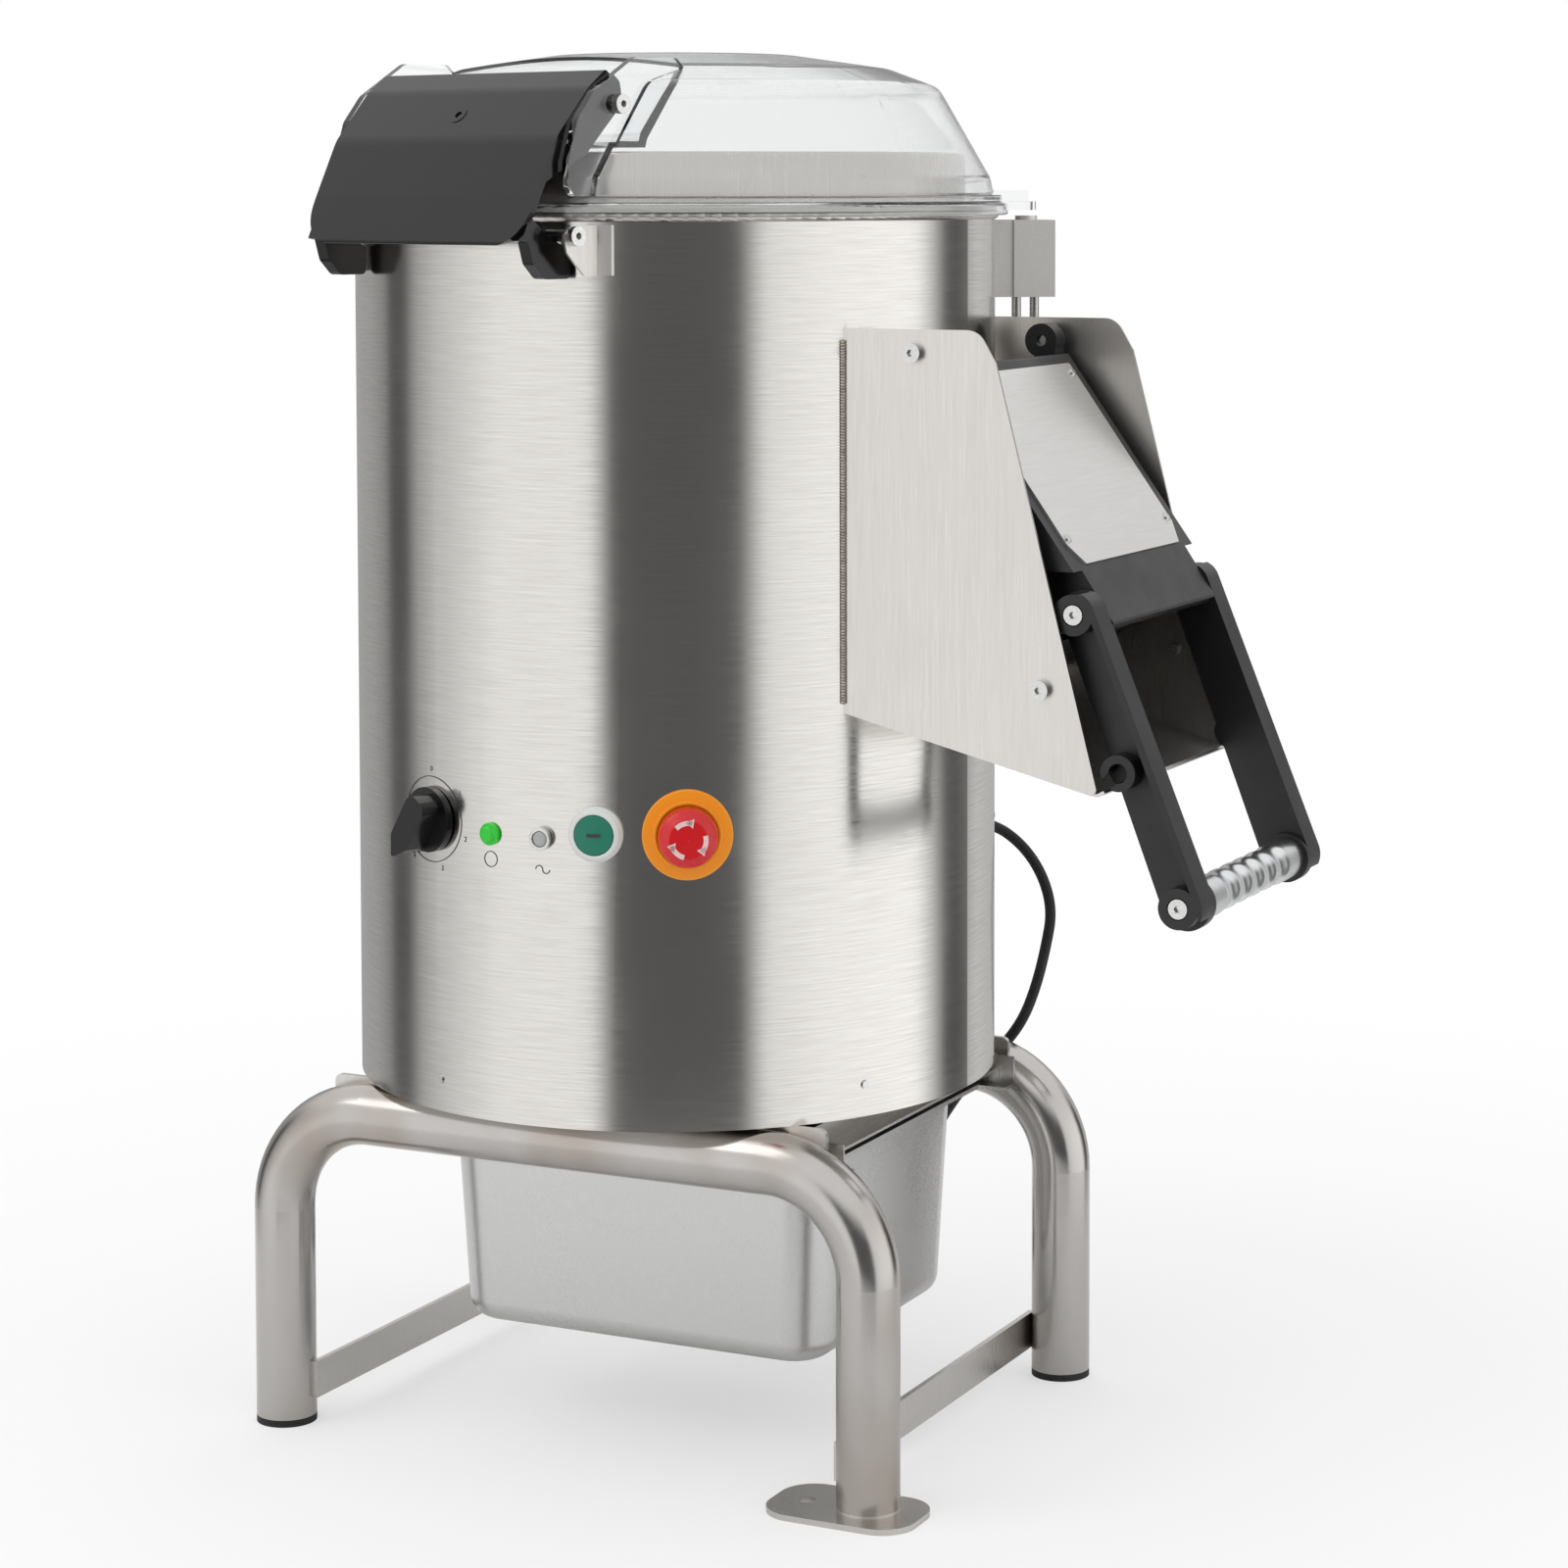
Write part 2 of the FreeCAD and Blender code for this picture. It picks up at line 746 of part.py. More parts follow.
def lever_pivots():
    seat = -arm_out + socket_head_h
    reach = arm_out - socket_head_h - arm_in + 6
    pivot = socket_screw(V(lever_x, seat, lever_z), V(0, -1, 0), hinge_bolt_r, reach)
    return both_y(pivot)


# Lid, modelled with its clamp side at the front and turned with the lever

def lid_outer_points():
    z = lid_flange_z
    f = lid_flange_r
    return [
        (0, z), (f - 4, z), (f, z, 1.5), (f, z + 7.5, 2.0), (f - 4, z + 9.5, 1.0), (f - 4, z + 14, 1.5),
        (f - 10, z + 14), (f - 12.5, z + 26, 6), (f - 49, lid_crown_z - 25, 16), (f - 84, lid_crown_z - 12, 30),
        (f - 150, lid_crown_z - 2.5, 60), (0, lid_crown_z),
    ]


def lid_inner_points():
    z = lid_flange_z
    f = lid_flange_r
    t = lid_wall
    return [
        (0, z - 1), (f - 4, z - 1), (f - 4, z + 7.5 - 0.1), (f - 13, z + 7.5 - 0.1), (f - 14, z + 15, 1.5),
        (f - 12.5 - t, z + 26, 6), (f - 49 - t, lid_crown_z - 25 - t / 2, 14), (f - 84, lid_crown_z - 12 - t, 30),
        (f - 150, lid_crown_z - 2.5 - t, 60), (0, lid_crown_z - t),
    ]


def pocket_prism(grow, half):
    # The pocket in the dome that the clamp lever swings in, as (rho, z)
    points = [
        (104 - grow, lid_crown_z + 30), (106 - grow, lid_crown_z - 8), (148 - grow, pocket_z + 6 - grow, 4),
        (150 - grow, pocket_z - grow), (lid_flange_r + 30, pocket_z - grow), (lid_flange_r + 30, lid_crown_z + 30),
    ]
    return prism([(-p[0], p[1]) + tuple(p[2:]) for p in points], yz(-half - grow), V(2 * (half + grow), 0, 0))


def ear_points():
    return [
        (100, lid_crown_z - 28), (106, lid_crown_z - 19, 3), (117, lid_crown_z - 9, 4), (156, lid_crown_z - 9, 8),
        (194, lid_crown_z - 32, 10), (209, lid_crown_z - 50, 10), (218, lid_crown_z - 78, 10),
        (218, lid_flange_z + 20.4, 6), (212, lid_flange_z + 14),
        (150, lid_flange_z + 14),
    ]


def lid_dome():
    outer = revolved(lid_outer_points())
    outer = outer.cut(pocket_prism(0.0, ear_half))
    ear = prism([(-p[0], p[1]) + tuple(p[2:]) for p in ear_points()], yz(ear_half - ear_lap), V(ear_t + ear_lap, 0, 0))
    inner = revolved(lid_inner_points()).cut(pocket_prism(lid_wall, ear_half))
    ear = ear.cut(inner)
    shell = outer.cut(inner).fuse(ear).fuse(mirrored_x(ear))
    for side in (-1, 1):
        hole = rod(clamp_pin_r, ear_t + 2, V(side * (ear_half - 1), -clamp_rho, clamp_z), V(side, 0, 0))
        shell = shell.cut(hole)
    # Tab over the interlock
    tab_r_out = lid_flange_r + tab_reach
    az = box_az - clamp_az
    tab_w = 13.0
    tab_points = [(-tab_w, lid_flange_r - 6, 0), (tab_w, lid_flange_r - 6, 0), (tab_w, tab_r_out, 4), (-tab_w, tab_r_out, 4)]
    tab = prism([(p[0], -p[1], p[2]) for p in tab_points], xy(lid_flange_z + 3), V(0, 0, 6.0))
    rib = box(-2, 2, -(tab_r_out - 4), -(lid_flange_r - 6), lid_flange_z + 9, lid_flange_z + 17)
    shell = shell.fuse(turned(tab, az)).fuse(turned(rib.cut(revolved(lid_inner_points())), az))
    return shell


def lid_hinge_leaf():
    # Steel leaf screwed to the lid's flange, rolled round the hinge pin
    half = lid_knuckle_half
    top = lid_flange_z + 14
    y = lid_hinge_rho
    leaf = box(-half, half, lid_flange_r - 35, y + lid_knuckle_r * 0.5, top, top + 2)
    leaf = leaf.cut(rod(lid_flange_r - 9.5, 60, V(0, 0, lid_flange_z)))
    knuckle = rod(lid_knuckle_r, 2 * half, V(-half, y, lid_hinge_z), V(1, 0, 0))
    neck = box(-half, half, y - lid_knuckle_r, y - 1, lid_hinge_z, top + 2)
    bore = rod(lid_hinge_r + 0.05, 2 * half + 2, V(-half - 1, y, lid_hinge_z), V(1, 0, 0))
    piece = leaf.fuse(knuckle).fuse(neck).cut(bore)
    return piece


def hinge_bracket():
    # Two ears on a back plate fixed to the drum
    half = lid_knuckle_half
    t = 4.0
    gap = 0.5
    y = lid_hinge_rho
    r = lid_knuckle_r
    ear_pts = [(drum_r - 20, lid_hinge_z - 50), (y - 2, lid_hinge_z - 30, 6), (y + r, lid_hinge_z - 6, 4),
               (y + r, lid_hinge_z + r, 6), (y - r, lid_hinge_z + r, 6), (y - r, lid_hinge_z - 12, 0),
               (drum_r - 20, lid_hinge_z - 12)]
    ear = prism(ear_pts, yz(half + gap), V(t, 0, 0))
    plate = box(-half - gap - t, half + gap + t, 150, drum_r + 3, lid_hinge_z - 50, lid_hinge_z - 12)
    body = plate.fuse(ear).fuse(mirrored_x(ear))
    body = body.cut(rod(drum_r, 200, V(0, 0, lid_hinge_z - 100)))
    bore = rod(lid_hinge_r, 2 * half + 20, V(-half - 10, y, lid_hinge_z), V(1, 0, 0))
    return body.cut(bore)


def hinge_pin():
    half = lid_knuckle_half + 0.5 + 4.0
    pin = rod(lid_hinge_r, 2 * half, V(-half, lid_hinge_rho, lid_hinge_z), V(1, 0, 0))
    cap = rod(lid_hinge_r + 2.5, 3.0, V(half, lid_hinge_rho, lid_hinge_z), V(1, 0, 0))
    return pin.fuse(cap).fuse(mirrored_x(cap))


def lid_seal():
    z = drum_top_z + bead_h + 0.3
    top = lid_flange_z + 7.4
    return pipe(drum_r + 1.0, drum_r - 4.0, top - z, V(0, 0, z))


# Clamp lever: curved hood, flared paddle, two cheeks and two hooks, as (rho, z) sections

def clamp_section(half, grow_in=0.0):
    w = clamp_wall
    top = clamp_z
    low = lid_flange_z
    outer = [(176, top + 23, 2), (193, top + 10, 30), (222, top - 23, 26), (240, low + 14.4, 40), (254, low - 16.6, 1.5)]
    inner = [(254 - w, low - 18.6, 1.5), (240 - w, low + 12.4, 40), (222 - w, top - 25, 24), (191, top + 5, 26),
             (173, top + 19, 1)]
    return [(-p[0], p[1], p[2]) for p in outer + inner]


def clamp_lever():
    hw = clamp_half_w
    skin = prism(clamp_section(hw), yz(-hw), V(2 * hw, 0, 0))
    # The paddle's lower corners are rounded
    low = lip_bottom_z
    window = prism([(-hw, lid_crown_z), (hw, lid_crown_z), (hw, low, lip_corner_r), (-hw, low, lip_corner_r)],
                   xz(-300), V(0, 300, 0))
    skin = skin.common(window)
    top = clamp_z
    base = lid_flange_z
    cheek_points = [(176, top + 22.5, 2), (166, top + 15, 6), (163.5, top, 8), (176, top - 12, 8), (197, top - 33, 4),
                    (232.5, base + 22.4, 0), (229, base + 32.4, 0), (220, top - 22, 10), (193, top + 8, 20)]
    cheek = prism([(-p[0], p[1], p[2]) for p in cheek_points], yz(hw - clamp_cheek_t), V(clamp_cheek_t, 0, 0))
    body = skin.fuse(cheek).fuse(mirrored_x(cheek))
    # A small round boss in the middle of the hood
    boss_way = V(0, -hood_boss_way[0], hood_boss_way[1])
    boss_seat = V(0, -hood_boss_at[0], clamp_z + hood_boss_at[1])
    body = body.fuse(rod(hood_boss_r, hood_boss_h + clamp_wall / 2, boss_seat - boss_way * (clamp_wall / 2), boss_way))
    body = body.cut(rod(hood_boss_r / 2.4, hood_boss_h + 1, boss_seat + boss_way * (hood_boss_h - 1.2), boss_way))
    reach = math.hypot(catch_rho - clamp_rho, catch_z - clamp_z) + catch_pin_r + hook_clear
    hook_points = [(246, 842, 0), (240, 822, 6), (230, hook_low_z, 6), (207, hook_low_z, 4), (206.5, 836, 0), (232, 860, 0),
                   (241, 853, 0)]
    hook = prism([(-p[0], p[1], p[2]) for p in hook_points], yz(hook_half[0]), V(hook_half[1] - hook_half[0], 0, 0))
    hook = hook.cut(rod(reach, 200, V(0, -clamp_rho, clamp_z), V(1, 0, 0)))
    hook = max(hook.Solids, key=lambda s: s.Volume)
    web = prism([(-p[0], p[1]) for p in ((238.5, 862), (250, 837), (245, 836), (231, 850))],
                yz(hook_half[0]), V(hook_half[1] - hook_half[0], 0, 0))
    web = web.cut(rod(reach, 200, V(0, -clamp_rho, clamp_z), V(1, 0, 0)))
    hook = hook.fuse(web)
    body = body.fuse(hook).fuse(mirrored_x(hook))
    bore = rod(clamp_pin_r + 0.05, 4 * hw, V(-2 * hw, -clamp_rho, clamp_z), V(1, 0, 0))
    return body.cut(bore)


def clamp_pins():
    # Screws through the clear ears into the cheeks
    seat = ear_half + ear_t
    reach = seat - (clamp_half_w - clamp_cheek_t)
    pin = socket_screw(V(seat, -clamp_rho, clamp_z), V(1, 0, 0), clamp_pin_r, reach)
    return both_x(pin)


def catch_brackets():
    h0, h1 = 814.0, 847.0
    x0 = catch_half
    flag = [(150, h1), (catch_rho + 2, h1, 3), (catch_rho + 9, h1 - 6, 3), (catch_rho + 6, h1 - 18, 4),
            (catch_rho - 10, h0, 3), (150, h0)]
    plate = prism([(-p[0], p[1]) + tuple(p[2:]) for p in flag], yz(x0), V(catch_plate_t, 0, 0))
    skin = pipe(drum_r + catch_plate_t, drum_r, h1 - h0, V(0, 0, h0))
    flange = skin.common(box(x0, x0 + 10, -drum_r, -120, h0, h1))
    plate = plate.cut(rod(drum_r, 100, V(0, 0, h0 - 20)))
    bore = rod(catch_pin_r, catch_plate_t + 2, V(x0 - 1, -catch_rho, catch_z), V(1, 0, 0))
    piece = plate.fuse(flange).cut(bore)
    return both_x(piece)


def catch_pins():
    pin = socket_screw(V(catch_half + catch_plate_t, -catch_rho, catch_z), V(1, 0, 0), catch_pin_r,
                       catch_half + catch_plate_t - hook_half[0] + 1)
    return both_x(pin)


# Controls

def timer_knob():
    y = drum_r + control_gap
    skirt = rod(knob_skirt_r, knob_skirt_h, V(0, -y, 0), V(0, -1, 0))
    pointer = [(-knob_tip, 0, 1.5), (-knob_skirt_r + 4, -9, 3), (knob_skirt_r - 3, -10, 8), (knob_skirt_r - 3, 10, 8),
               (-knob_skirt_r + 4, 9, 3)]
    wedge = prism(pointer, xz(-y), V(0, -knob_h, 0))
    knob = skirt.fuse(wedge)
    stem = rod(knob_shaft_r, 18.0, V(0, -y + 18.0, 0), V(0, -1, 0))
    knob = knob.fuse(stem)
    knob.rotate(V(0, 0, 0), V(0, 1, 0), knob_rest_turn)
    knob.translate(V(0, 0, control_z))
    return turned(knob, knob_az)


def lamp(az):
    y = drum_r + 0.2
    points = [(0, -14), (lamp_r - 3, -14), (lamp_r - 3, 0), (lamp_r, 0), (lamp_r, 2.6, 1), (lamp_r - 1.8, 2.6, 0),
              (lamp_r - 3, 5.0, 2), (0, 5.6)]
    body = revolved(points)
    body.rotate(V(0, 0, 0), V(1, 0, 0), 90)
    body.translate(V(0, -y, lamp_z))
    return turned(body, az)


def facing_ring(points, az, z):
    # A turned piece whose axis points straight out of the drum wall
    body = revolved(points)
    body.rotate(V(0, 0, 0), V(1, 0, 0), 90)
    body.translate(V(0, -drum_r - control_gap, z))
    return turned(body, az)


def start_bezel():
    r0 = start_button_r + 0.3
    points = [(r0, -1.6 + 1.6), (start_bezel_r, 0), (start_bezel_r, 3, 1), (start_bezel_r - 2, 7, 2), (r0, 8, 1)]
    return facing_ring(points, start_az, control_z)


def start_button():
    points = [(0, -12), (start_button_r - 5, -12), (start_button_r - 5, 1), (start_button_r, 1),
              (start_button_r, 7.5, 1), (0, 8)]
    return facing_ring(points, start_az, control_z)


def stop_plate():
    points = [(stop_neck_r + 0.3, 0), (stop_plate_r, 0), (stop_plate_r, 2.2, 1), (stop_cap_r, 3.6, 1),
              (stop_neck_r + 0.3, 3.6)]
    return facing_ring(points, stop_az, control_z)


def stop_button():
    h0 = 4.0 + stop_travel
    points = [(0, -14), (stop_neck_r - 0.4, -14), (stop_neck_r - 0.4, h0 + 1), (stop_cap_r - 1, h0, 0),
              (stop_cap_r, h0 + 3, 1), (stop_cap_r - 1.2, h0 + 11, 3), (stop_cap_r - 7, h0 + 15, 4), (0, h0 + 15.5)]
    return facing_ring(points, stop_az, control_z)


# Interlock box: body against the drum, screwed cover on its side, sensor disc on top, rods below

def interlock_box():
    x = box_half_t
    y1 = drum_r + box_reach
    z0, z1 = box_top_z - box_h, box_top_z
    body = box(-x, x, -y1, -drum_r + 30, z0, z1).cut(rod(drum_r, 200, V(0, 0, z0 - 50)))
    cover = box(-x - 2, -x, -y1, -y1 + box_cover_w, z0, z1)
    disc_y = -drum_r - box_reach * 0.62
    disc = rod(sensor_disc_r, 3.0, V(0, disc_y, z1))
    piece = body.fuse(cover).fuse(disc)
    return turned(piece, box_az)


def interlock_rods():
    z1 = box_top_z - box_h
    out = []
    for off in (0.45, 0.75):
        out.append(turned(rod(rod_r, rod_len, V(-2, -drum_r - box_reach * off, z1 - rod_len)), box_az))
    return out


# Pan and rails

def pan():
    hx, hy = pan_len_x / 2, pan_len_y / 2
    z0 = pan_rim_z - pan_depth

    def tub(grow, z_low, z_high, fillet):
        top = rounded_box_wire(hx - pan_rim_w + grow, hy - pan_rim_w + grow, pan_corner + grow, z_high, pan_centre_x)
        low = rounded_box_wire(hx - pan_rim_w - pan_taper + grow, hy - pan_rim_w - pan_taper + grow,
                               pan_corner - 4 + grow, z_low, pan_centre_x)
        solid = Part.makeLoft([low, top], True, True)
        edges = [e for e in solid.Edges if abs(e.BoundBox.ZMax - z_low) < 0.01 and abs(e.BoundBox.ZMin - z_low) < 0.01]
        return solid.makeFillet(fillet, edges)

    outer = tub(0.0, z0, pan_rim_z, pan_floor_r)
    inner = tub(-pan_wall, z0 + pan_wall, pan_rim_z + 0.01, pan_floor_r - pan_wall)
    rim = Part.Face(rounded_box_wire(hx, hy, 20.0, pan_rim_z - pan_wall, pan_centre_x)).extrude(V(0, 0, pan_wall))
    skirt_out = Part.Face(rounded_box_wire(hx, hy, 20.0, pan_rim_z - 3.0, pan_centre_x)).extrude(V(0, 0, 3.0))
    skirt_in = Part.Face(rounded_box_wire(hx - 1.5, hy - 1.5, 18.5, pan_rim_z - 3.0, pan_centre_x)).extrude(V(0, 0, 3.0))
    rim = rim.fuse(skirt_out.cut(skirt_in))
    return outer.fuse(rim).cut(inner)


def pan_rails():
    y1 = bar_inner_y
    lip_z = pan_rim_z - 3.0 - pan_gap - rail_t
    up = box(rail_x0, rail_x0 + rail_len, -y1, -y1 + rail_t, lip_z, lip_z + rail_up)
    lip = box(rail_x0, rail_x0 + rail_len, -y1, -y1 + rail_lip, lip_z, lip_z + rail_t)
    return both_y(up.fuse(lip))


def pan_cross_rail():
    x1 = pan_centre_x + pan_len_x / 2
    y1 = bar_inner_y - rail_t
    z0 = pan_rim_z + 3.0
    flat = box(x1 - cross_rail_w, x1, -y1, y1, z0, z0 + rail_t)
    up = box(x1 - cross_rail_w, x1 - cross_rail_w + rail_t, -y1, y1, z0, z0 + cross_rail_up)
    return flat.fuse(up)


# Drive

def bearing_housing():
    z1 = tank_floor_z
    z0 = z1 - hub_h + tank_floor_t
    points = [(shaft_r + shaft_clear, z0), (hub_r - 12, z0, 3), (hub_r - 12, z1 - 10, 4), (hub_r + 24, z1 - 6, 1),
              (hub_r + 24, z1), (hub_r, z1), (hub_r, z1 + tank_floor_t), (shaft_r + shaft_clear, z1 + tank_floor_t)]
    return revolved(points)


def peeling_disc():
    z = disc_z
    plate = revolved([(0, z), (disc_r - 2, z), (disc_r, z + 2), (disc_r, z + disc_t - 3, 2), (disc_r - 4, z + disc_t, 2),
                      (36, z + disc_t), (24, z + disc_t + 8, 4), (0, z + disc_t + 10)])
    shaft = rod(shaft_r, z - pulley_z + 2, V(0, 0, pulley_z - 2))
    body = plate.fuse(shaft)
    for k in range(wave_n):
        ridge = Part.makeCone(14.0, 6.0, disc_r - 60, V(0, 0, 0), V(1, 0, 0))
        ridge.translate(V(46, 0, z + disc_t - 6))
        ridge.rotate(V(0, 0, 0), V(0, 0, 1), k * 360.0 / wave_n)
        ridge = ridge.common(rod(disc_r - 2, 60, V(0, 0, z + 2)))
        body = body.fuse(ridge)
    return body


def pulley(r, bore, z):
    d = belt_depth
    w = pulley_w
    points = [(bore, z), (r, z), (r, z + 3), (r - d - 1, z + w / 2 - 2), (r - d - 1, z + w / 2 + 2), (r, z + w - 3),
              (r, z + w), (bore, z + w)]
    return revolved(points)


def big_pulley():
    wheel = pulley(big_pulley_r, shaft_r, pulley_z)
    for k in range(5):
        hole = rod(17.0, pulley_w, V(62, 0, pulley_z))
        hole.rotate(V(0, 0, 0), V(0, 0, 1), 72 * k)
        wheel = wheel.cut(hole)
    return wheel


def small_pulley():
    wheel = pulley(small_pulley_r, motor_shaft_r, pulley_z)
    wheel.translate(V(motor_x, 0, 0))
    z0 = pulley_z - 2
    shaft = rod(motor_shaft_r, motor_plate_z + motor_plate_t - z0 - 0.3, V(motor_x, 0, z0))
    return wheel.fuse(shaft)


def belt():
    # Straight runs and wraps at the groove's mid depth, kept clear of both wheels
    d = belt_depth - belt_gap - 1.0
    r1 = big_pulley_r - d
    r2 = small_pulley_r - d
    z = pulley_z + pulley_w / 2
    span = abs(motor_x)
    a = math.asin((r1 - r2) / span)

    def ring(grow, h):
        ra, rb = r1 + grow, r2 + grow
        s, c = math.sin(a), math.cos(a)
        p1 = V(-ra * s, ra * c, z - h)
        p2 = V(motor_x - rb * s, rb * c, z - h)
        q1, q2 = V(p1.x, -p1.y, p1.z), V(p2.x, -p2.y, p2.z)
        edges = [
            Part.LineSegment(p1, p2).toShape(),
            Part.Arc(p2, V(motor_x - rb, 0, z - h), q2).toShape(),
            Part.LineSegment(q2, q1).toShape(),
            Part.Arc(q1, V(ra, 0, z - h), p1).toShape(),
        ]
        return Part.Face(Part.Wire(edges)).extrude(V(0, 0, 2 * h))

    return ring(5.0, 2.6).cut(ring(0.0, 2.6))


def motor():
    z = motor_plate_z + motor_plate_t
    points = [(0, z), (motor_r - 4, z), (motor_r, z + 4), (motor_r, z + motor_h - 22, 3), (motor_r - 3, z + motor_h - 20),
              (motor_r - 3, z + motor_h, 8), (0, z + motor_h)]
    body = revolved(points)
    body.translate(V(motor_x, 0, 0))
    return body


def motor_plate():
    r = drum_r - drum_wall
    plate = rod(r, motor_plate_t, V(0, 0, motor_plate_z))
    keep = box(-r, shaft_r - 60, -90, 90, motor_plate_z, motor_plate_z + motor_plate_t)
    plate = plate.common(keep)
    return plate.cut(rod(motor_shaft_r + 3, motor_plate_t, V(motor_x, 0, motor_plate_z)))


# Fittings

def drum_screws():
    out = []
    for az, z in ((-17.0, 750.0), (14.1, 750.6)):
        s = pan_screw(V(0, -drum_r - 0.2, z), V(0, -1, 0), pan_head_r, pan_head_h, 2.0, 0.2)
        out.append(turned(s, az))
    for az, z in ((-17.3, 270.5), (61.6, 270.5)):
        s = pan_screw(V(0, -drum_r - 0.1, z), V(0, -1, 0), rivet_r, 1.0, 1.2, 0.1)
        out.append(turned(s, az))
    return out


def water_inlet():
    y = drum_r
    nut = prism([(19 * math.cos(math.radians(60 * k)), 19 * math.sin(math.radians(60 * k))) for k in range(6)],
                xz(-y - 10), V(0, 8, 0))
    tail = pipe(inlet_r, inlet_r - 4, 26, V(0, -y - 10, 0), V(0, -1, 0))
    body = nut.cut(rod(inlet_r - 4, 10, V(0, -y, 0), V(0, -1, 0))).fuse(tail)
    flange = pipe(19.5, inlet_r - 4, 2, V(0, -y, 0), V(0, -1, 0))
    body = body.fuse(flange)
    body.translate(V(0, 0, inlet_z))
    return turned(body, inlet_az)


def cable_gland():
    y = drum_r
    points = [(0, 0), (gland_r + 3, 0), (gland_r + 3, 6, 1), (gland_r, 8, 1), (gland_r, 16, 3), (cord_r + 2, gland_len, 1),
              (0, gland_len)]
    body = revolved(points)
    body.rotate(V(0, 0, 0), V(1, 0, 0), 90)
    body.translate(V(0, -y, gland_z))
    return turned(body, gland_az)


# Power cord: out of the gland, down behind the drum, one coil on the floor and a short tail

def cord_exit():
    a = math.radians(gland_az)
    r = drum_r + gland_len
    return V(r * math.sin(a), -r * math.cos(a), gland_z)


def cord_route():
    chosen = [
        (142, 235.5, 391.5), (163, 244, 375.5), (180, 244, 353.5), (190, 239, 327.5), (188.5, 230, 301), (185, 221, 274.5),
        (177, 214.5, 248.5), (160, 215, 226), (139.5, 221, 209), (121.5, 230, 189), (104.5, 240, 169), (88.5, 250.5, 148),
        (73, 262, 127.5), (58.5, 274, 106.5), (43, 287, 87), (26.5, 300.5, 68.5), (9.5, 314.5, 51), (-5.5, 331, 34),
        (-22, 348, 20), (-43.5, 364, 9.5),
    ]
    return [cord_exit()] + [V(*p) for p in chosen] + [V(-68, 375.5, 8.0), V(coil_x + 21, coil_y + coil_r - 4, 8.0)]


def tail_route():
    return [V(coil_x - 30, coil_y + coil_r - 1, 8.0), V(-172, 384, 10), V(-198, 376, 13.5), V(-222, 364, 16.5),
            V(-246, 350, plug_z), V(-268, 334, plug_z)]


def cord_tube(route, label):
    edges = []
    here = route[0]
    radii = []
    for i in range(1, len(route) - 1):
        a = route[i - 1] - route[i]
        b = route[i + 1] - route[i]
        la, lb = a.Length, b.Length
        a.normalize()
        b.normalize()
        back = 0.45 * min(la, lb)
        turn = math.pi - math.acos(max(-1.0, min(1.0, a.dot(b))))
        r = back / math.tan(turn / 2)
        radii.append(round(r))
        p, q = route[i] + a * back, route[i] + b * back
        mid = a + b
        mid.normalize()
        top = route[i] + mid * (r / math.cos(turn / 2) - r)
        edges.append(Part.LineSegment(here, p).toShape())
        edges.append(Part.Arc(p, top, q).toShape())
        here = q
    edges.append(Part.LineSegment(here, route[-1]).toShape())
    path = Part.Wire(edges)
    ring = Part.Wire(Part.makeCircle(cord_r, route[0], route[1] - route[0]))
    tube = path.makePipeShell([ring], True, False)
    section = math.pi * cord_r * cord_r
    print(label, "length", round(path.Length), "radii", radii)
    print(label, "volume over section times length", round(tube.Volume / (section * path.Length), 4))
    return tube


def cord_coil():
    # The outer shape of the coil's stacked turns
    w = coil_w / 2
    points = [(coil_r - w, 0.2, 5), (coil_r + w, 0.2, 5), (coil_r + w, coil_h, 6), (coil_r - w, coil_h, 6)]
    return revolved(points, V(coil_x, coil_y, 0))


def plug():
    # A round two-pin plug with a tapered tail, lying on the floor
    points = [(0, 0), (6, 0, 1), (7, 18, 4), (plug_r - 1.5, 26, 6), (plug_r, 48, 2), (plug_r, 54, 1.5), (0, 54)]
    body = revolved(points)
    for side in (-1, 1):
        body = body.fuse(rod(2.4, 19.0, V(side * 9.5, 0, 54)))
    route = tail_route()
    d = route[-1] - route[-2]
    d.z = 0
    d.normalize()
    turn = FreeCAD.Rotation(V(0, 0, 1), d)
    body.Placement = FreeCAD.Placement(route[-1], turn)
    return body


# Build everything

front_tube, front_frame = leg_frame(-leg_y)
rear_tube, rear_frame = leg_frame(leg_y)
save("front_leg_frame", front_frame)
save("rear_leg_frame", rear_frame)
save("foot_caps", [foot_cap(-leg_x, -leg_y), foot_cap(leg_x, leg_y), foot_cap(-leg_x, leg_y)])
save("floor_plate", floor_plate())
save("support_strips", [support_strip(-1, front_tube), support_strip(1, rear_tube)])
save("leg_braces", both_x(brace()))
save("drum_shell", drum_shell())
save("top_deck", top_deck())
save("peeling_tank", peeling_tank())
save("abrasive_liner", abrasive_liner())
save("base_plate", base_plate())
save("waste_duct", waste_duct())
save("chute_plates", chute_plates())
save("chute_floor", chute_floor())
save("throat_collar", throat_collar())
save("throat_gasket", throat_gasket())
save("chute_screws", chute_screws())
save("door_panel", door_panel())
save("door_cover", door_cover())
save("door_screws", door_screws())
save("lever_arms", both_y(lever_arm()))
save("lever_grip", lever_grip())
save("grip_collars", grip_collars())
save("grip_screws", grip_screws())
save("lever_pivots", lever_pivots())
save("lid_dome", turned(lid_dome(), clamp_az))
save("lid_hinge_leaf", turned(lid_hinge_leaf(), clamp_az))
save("lid_seal", lid_seal())
save("hinge_bracket", turned(hinge_bracket(), clamp_az))
save("hinge_pin", turned(hinge_pin(), clamp_az))
save("clamp_lever", turned(clamp_lever(), clamp_az))
save("clamp_pins", [turned(s, clamp_az) for s in clamp_pins()])
save("catch_brackets", [turned(s, clamp_az) for s in catch_brackets()])
save("catch_pins", [turned(s, clamp_az) for s in catch_pins()])
save("timer_knob", timer_knob())
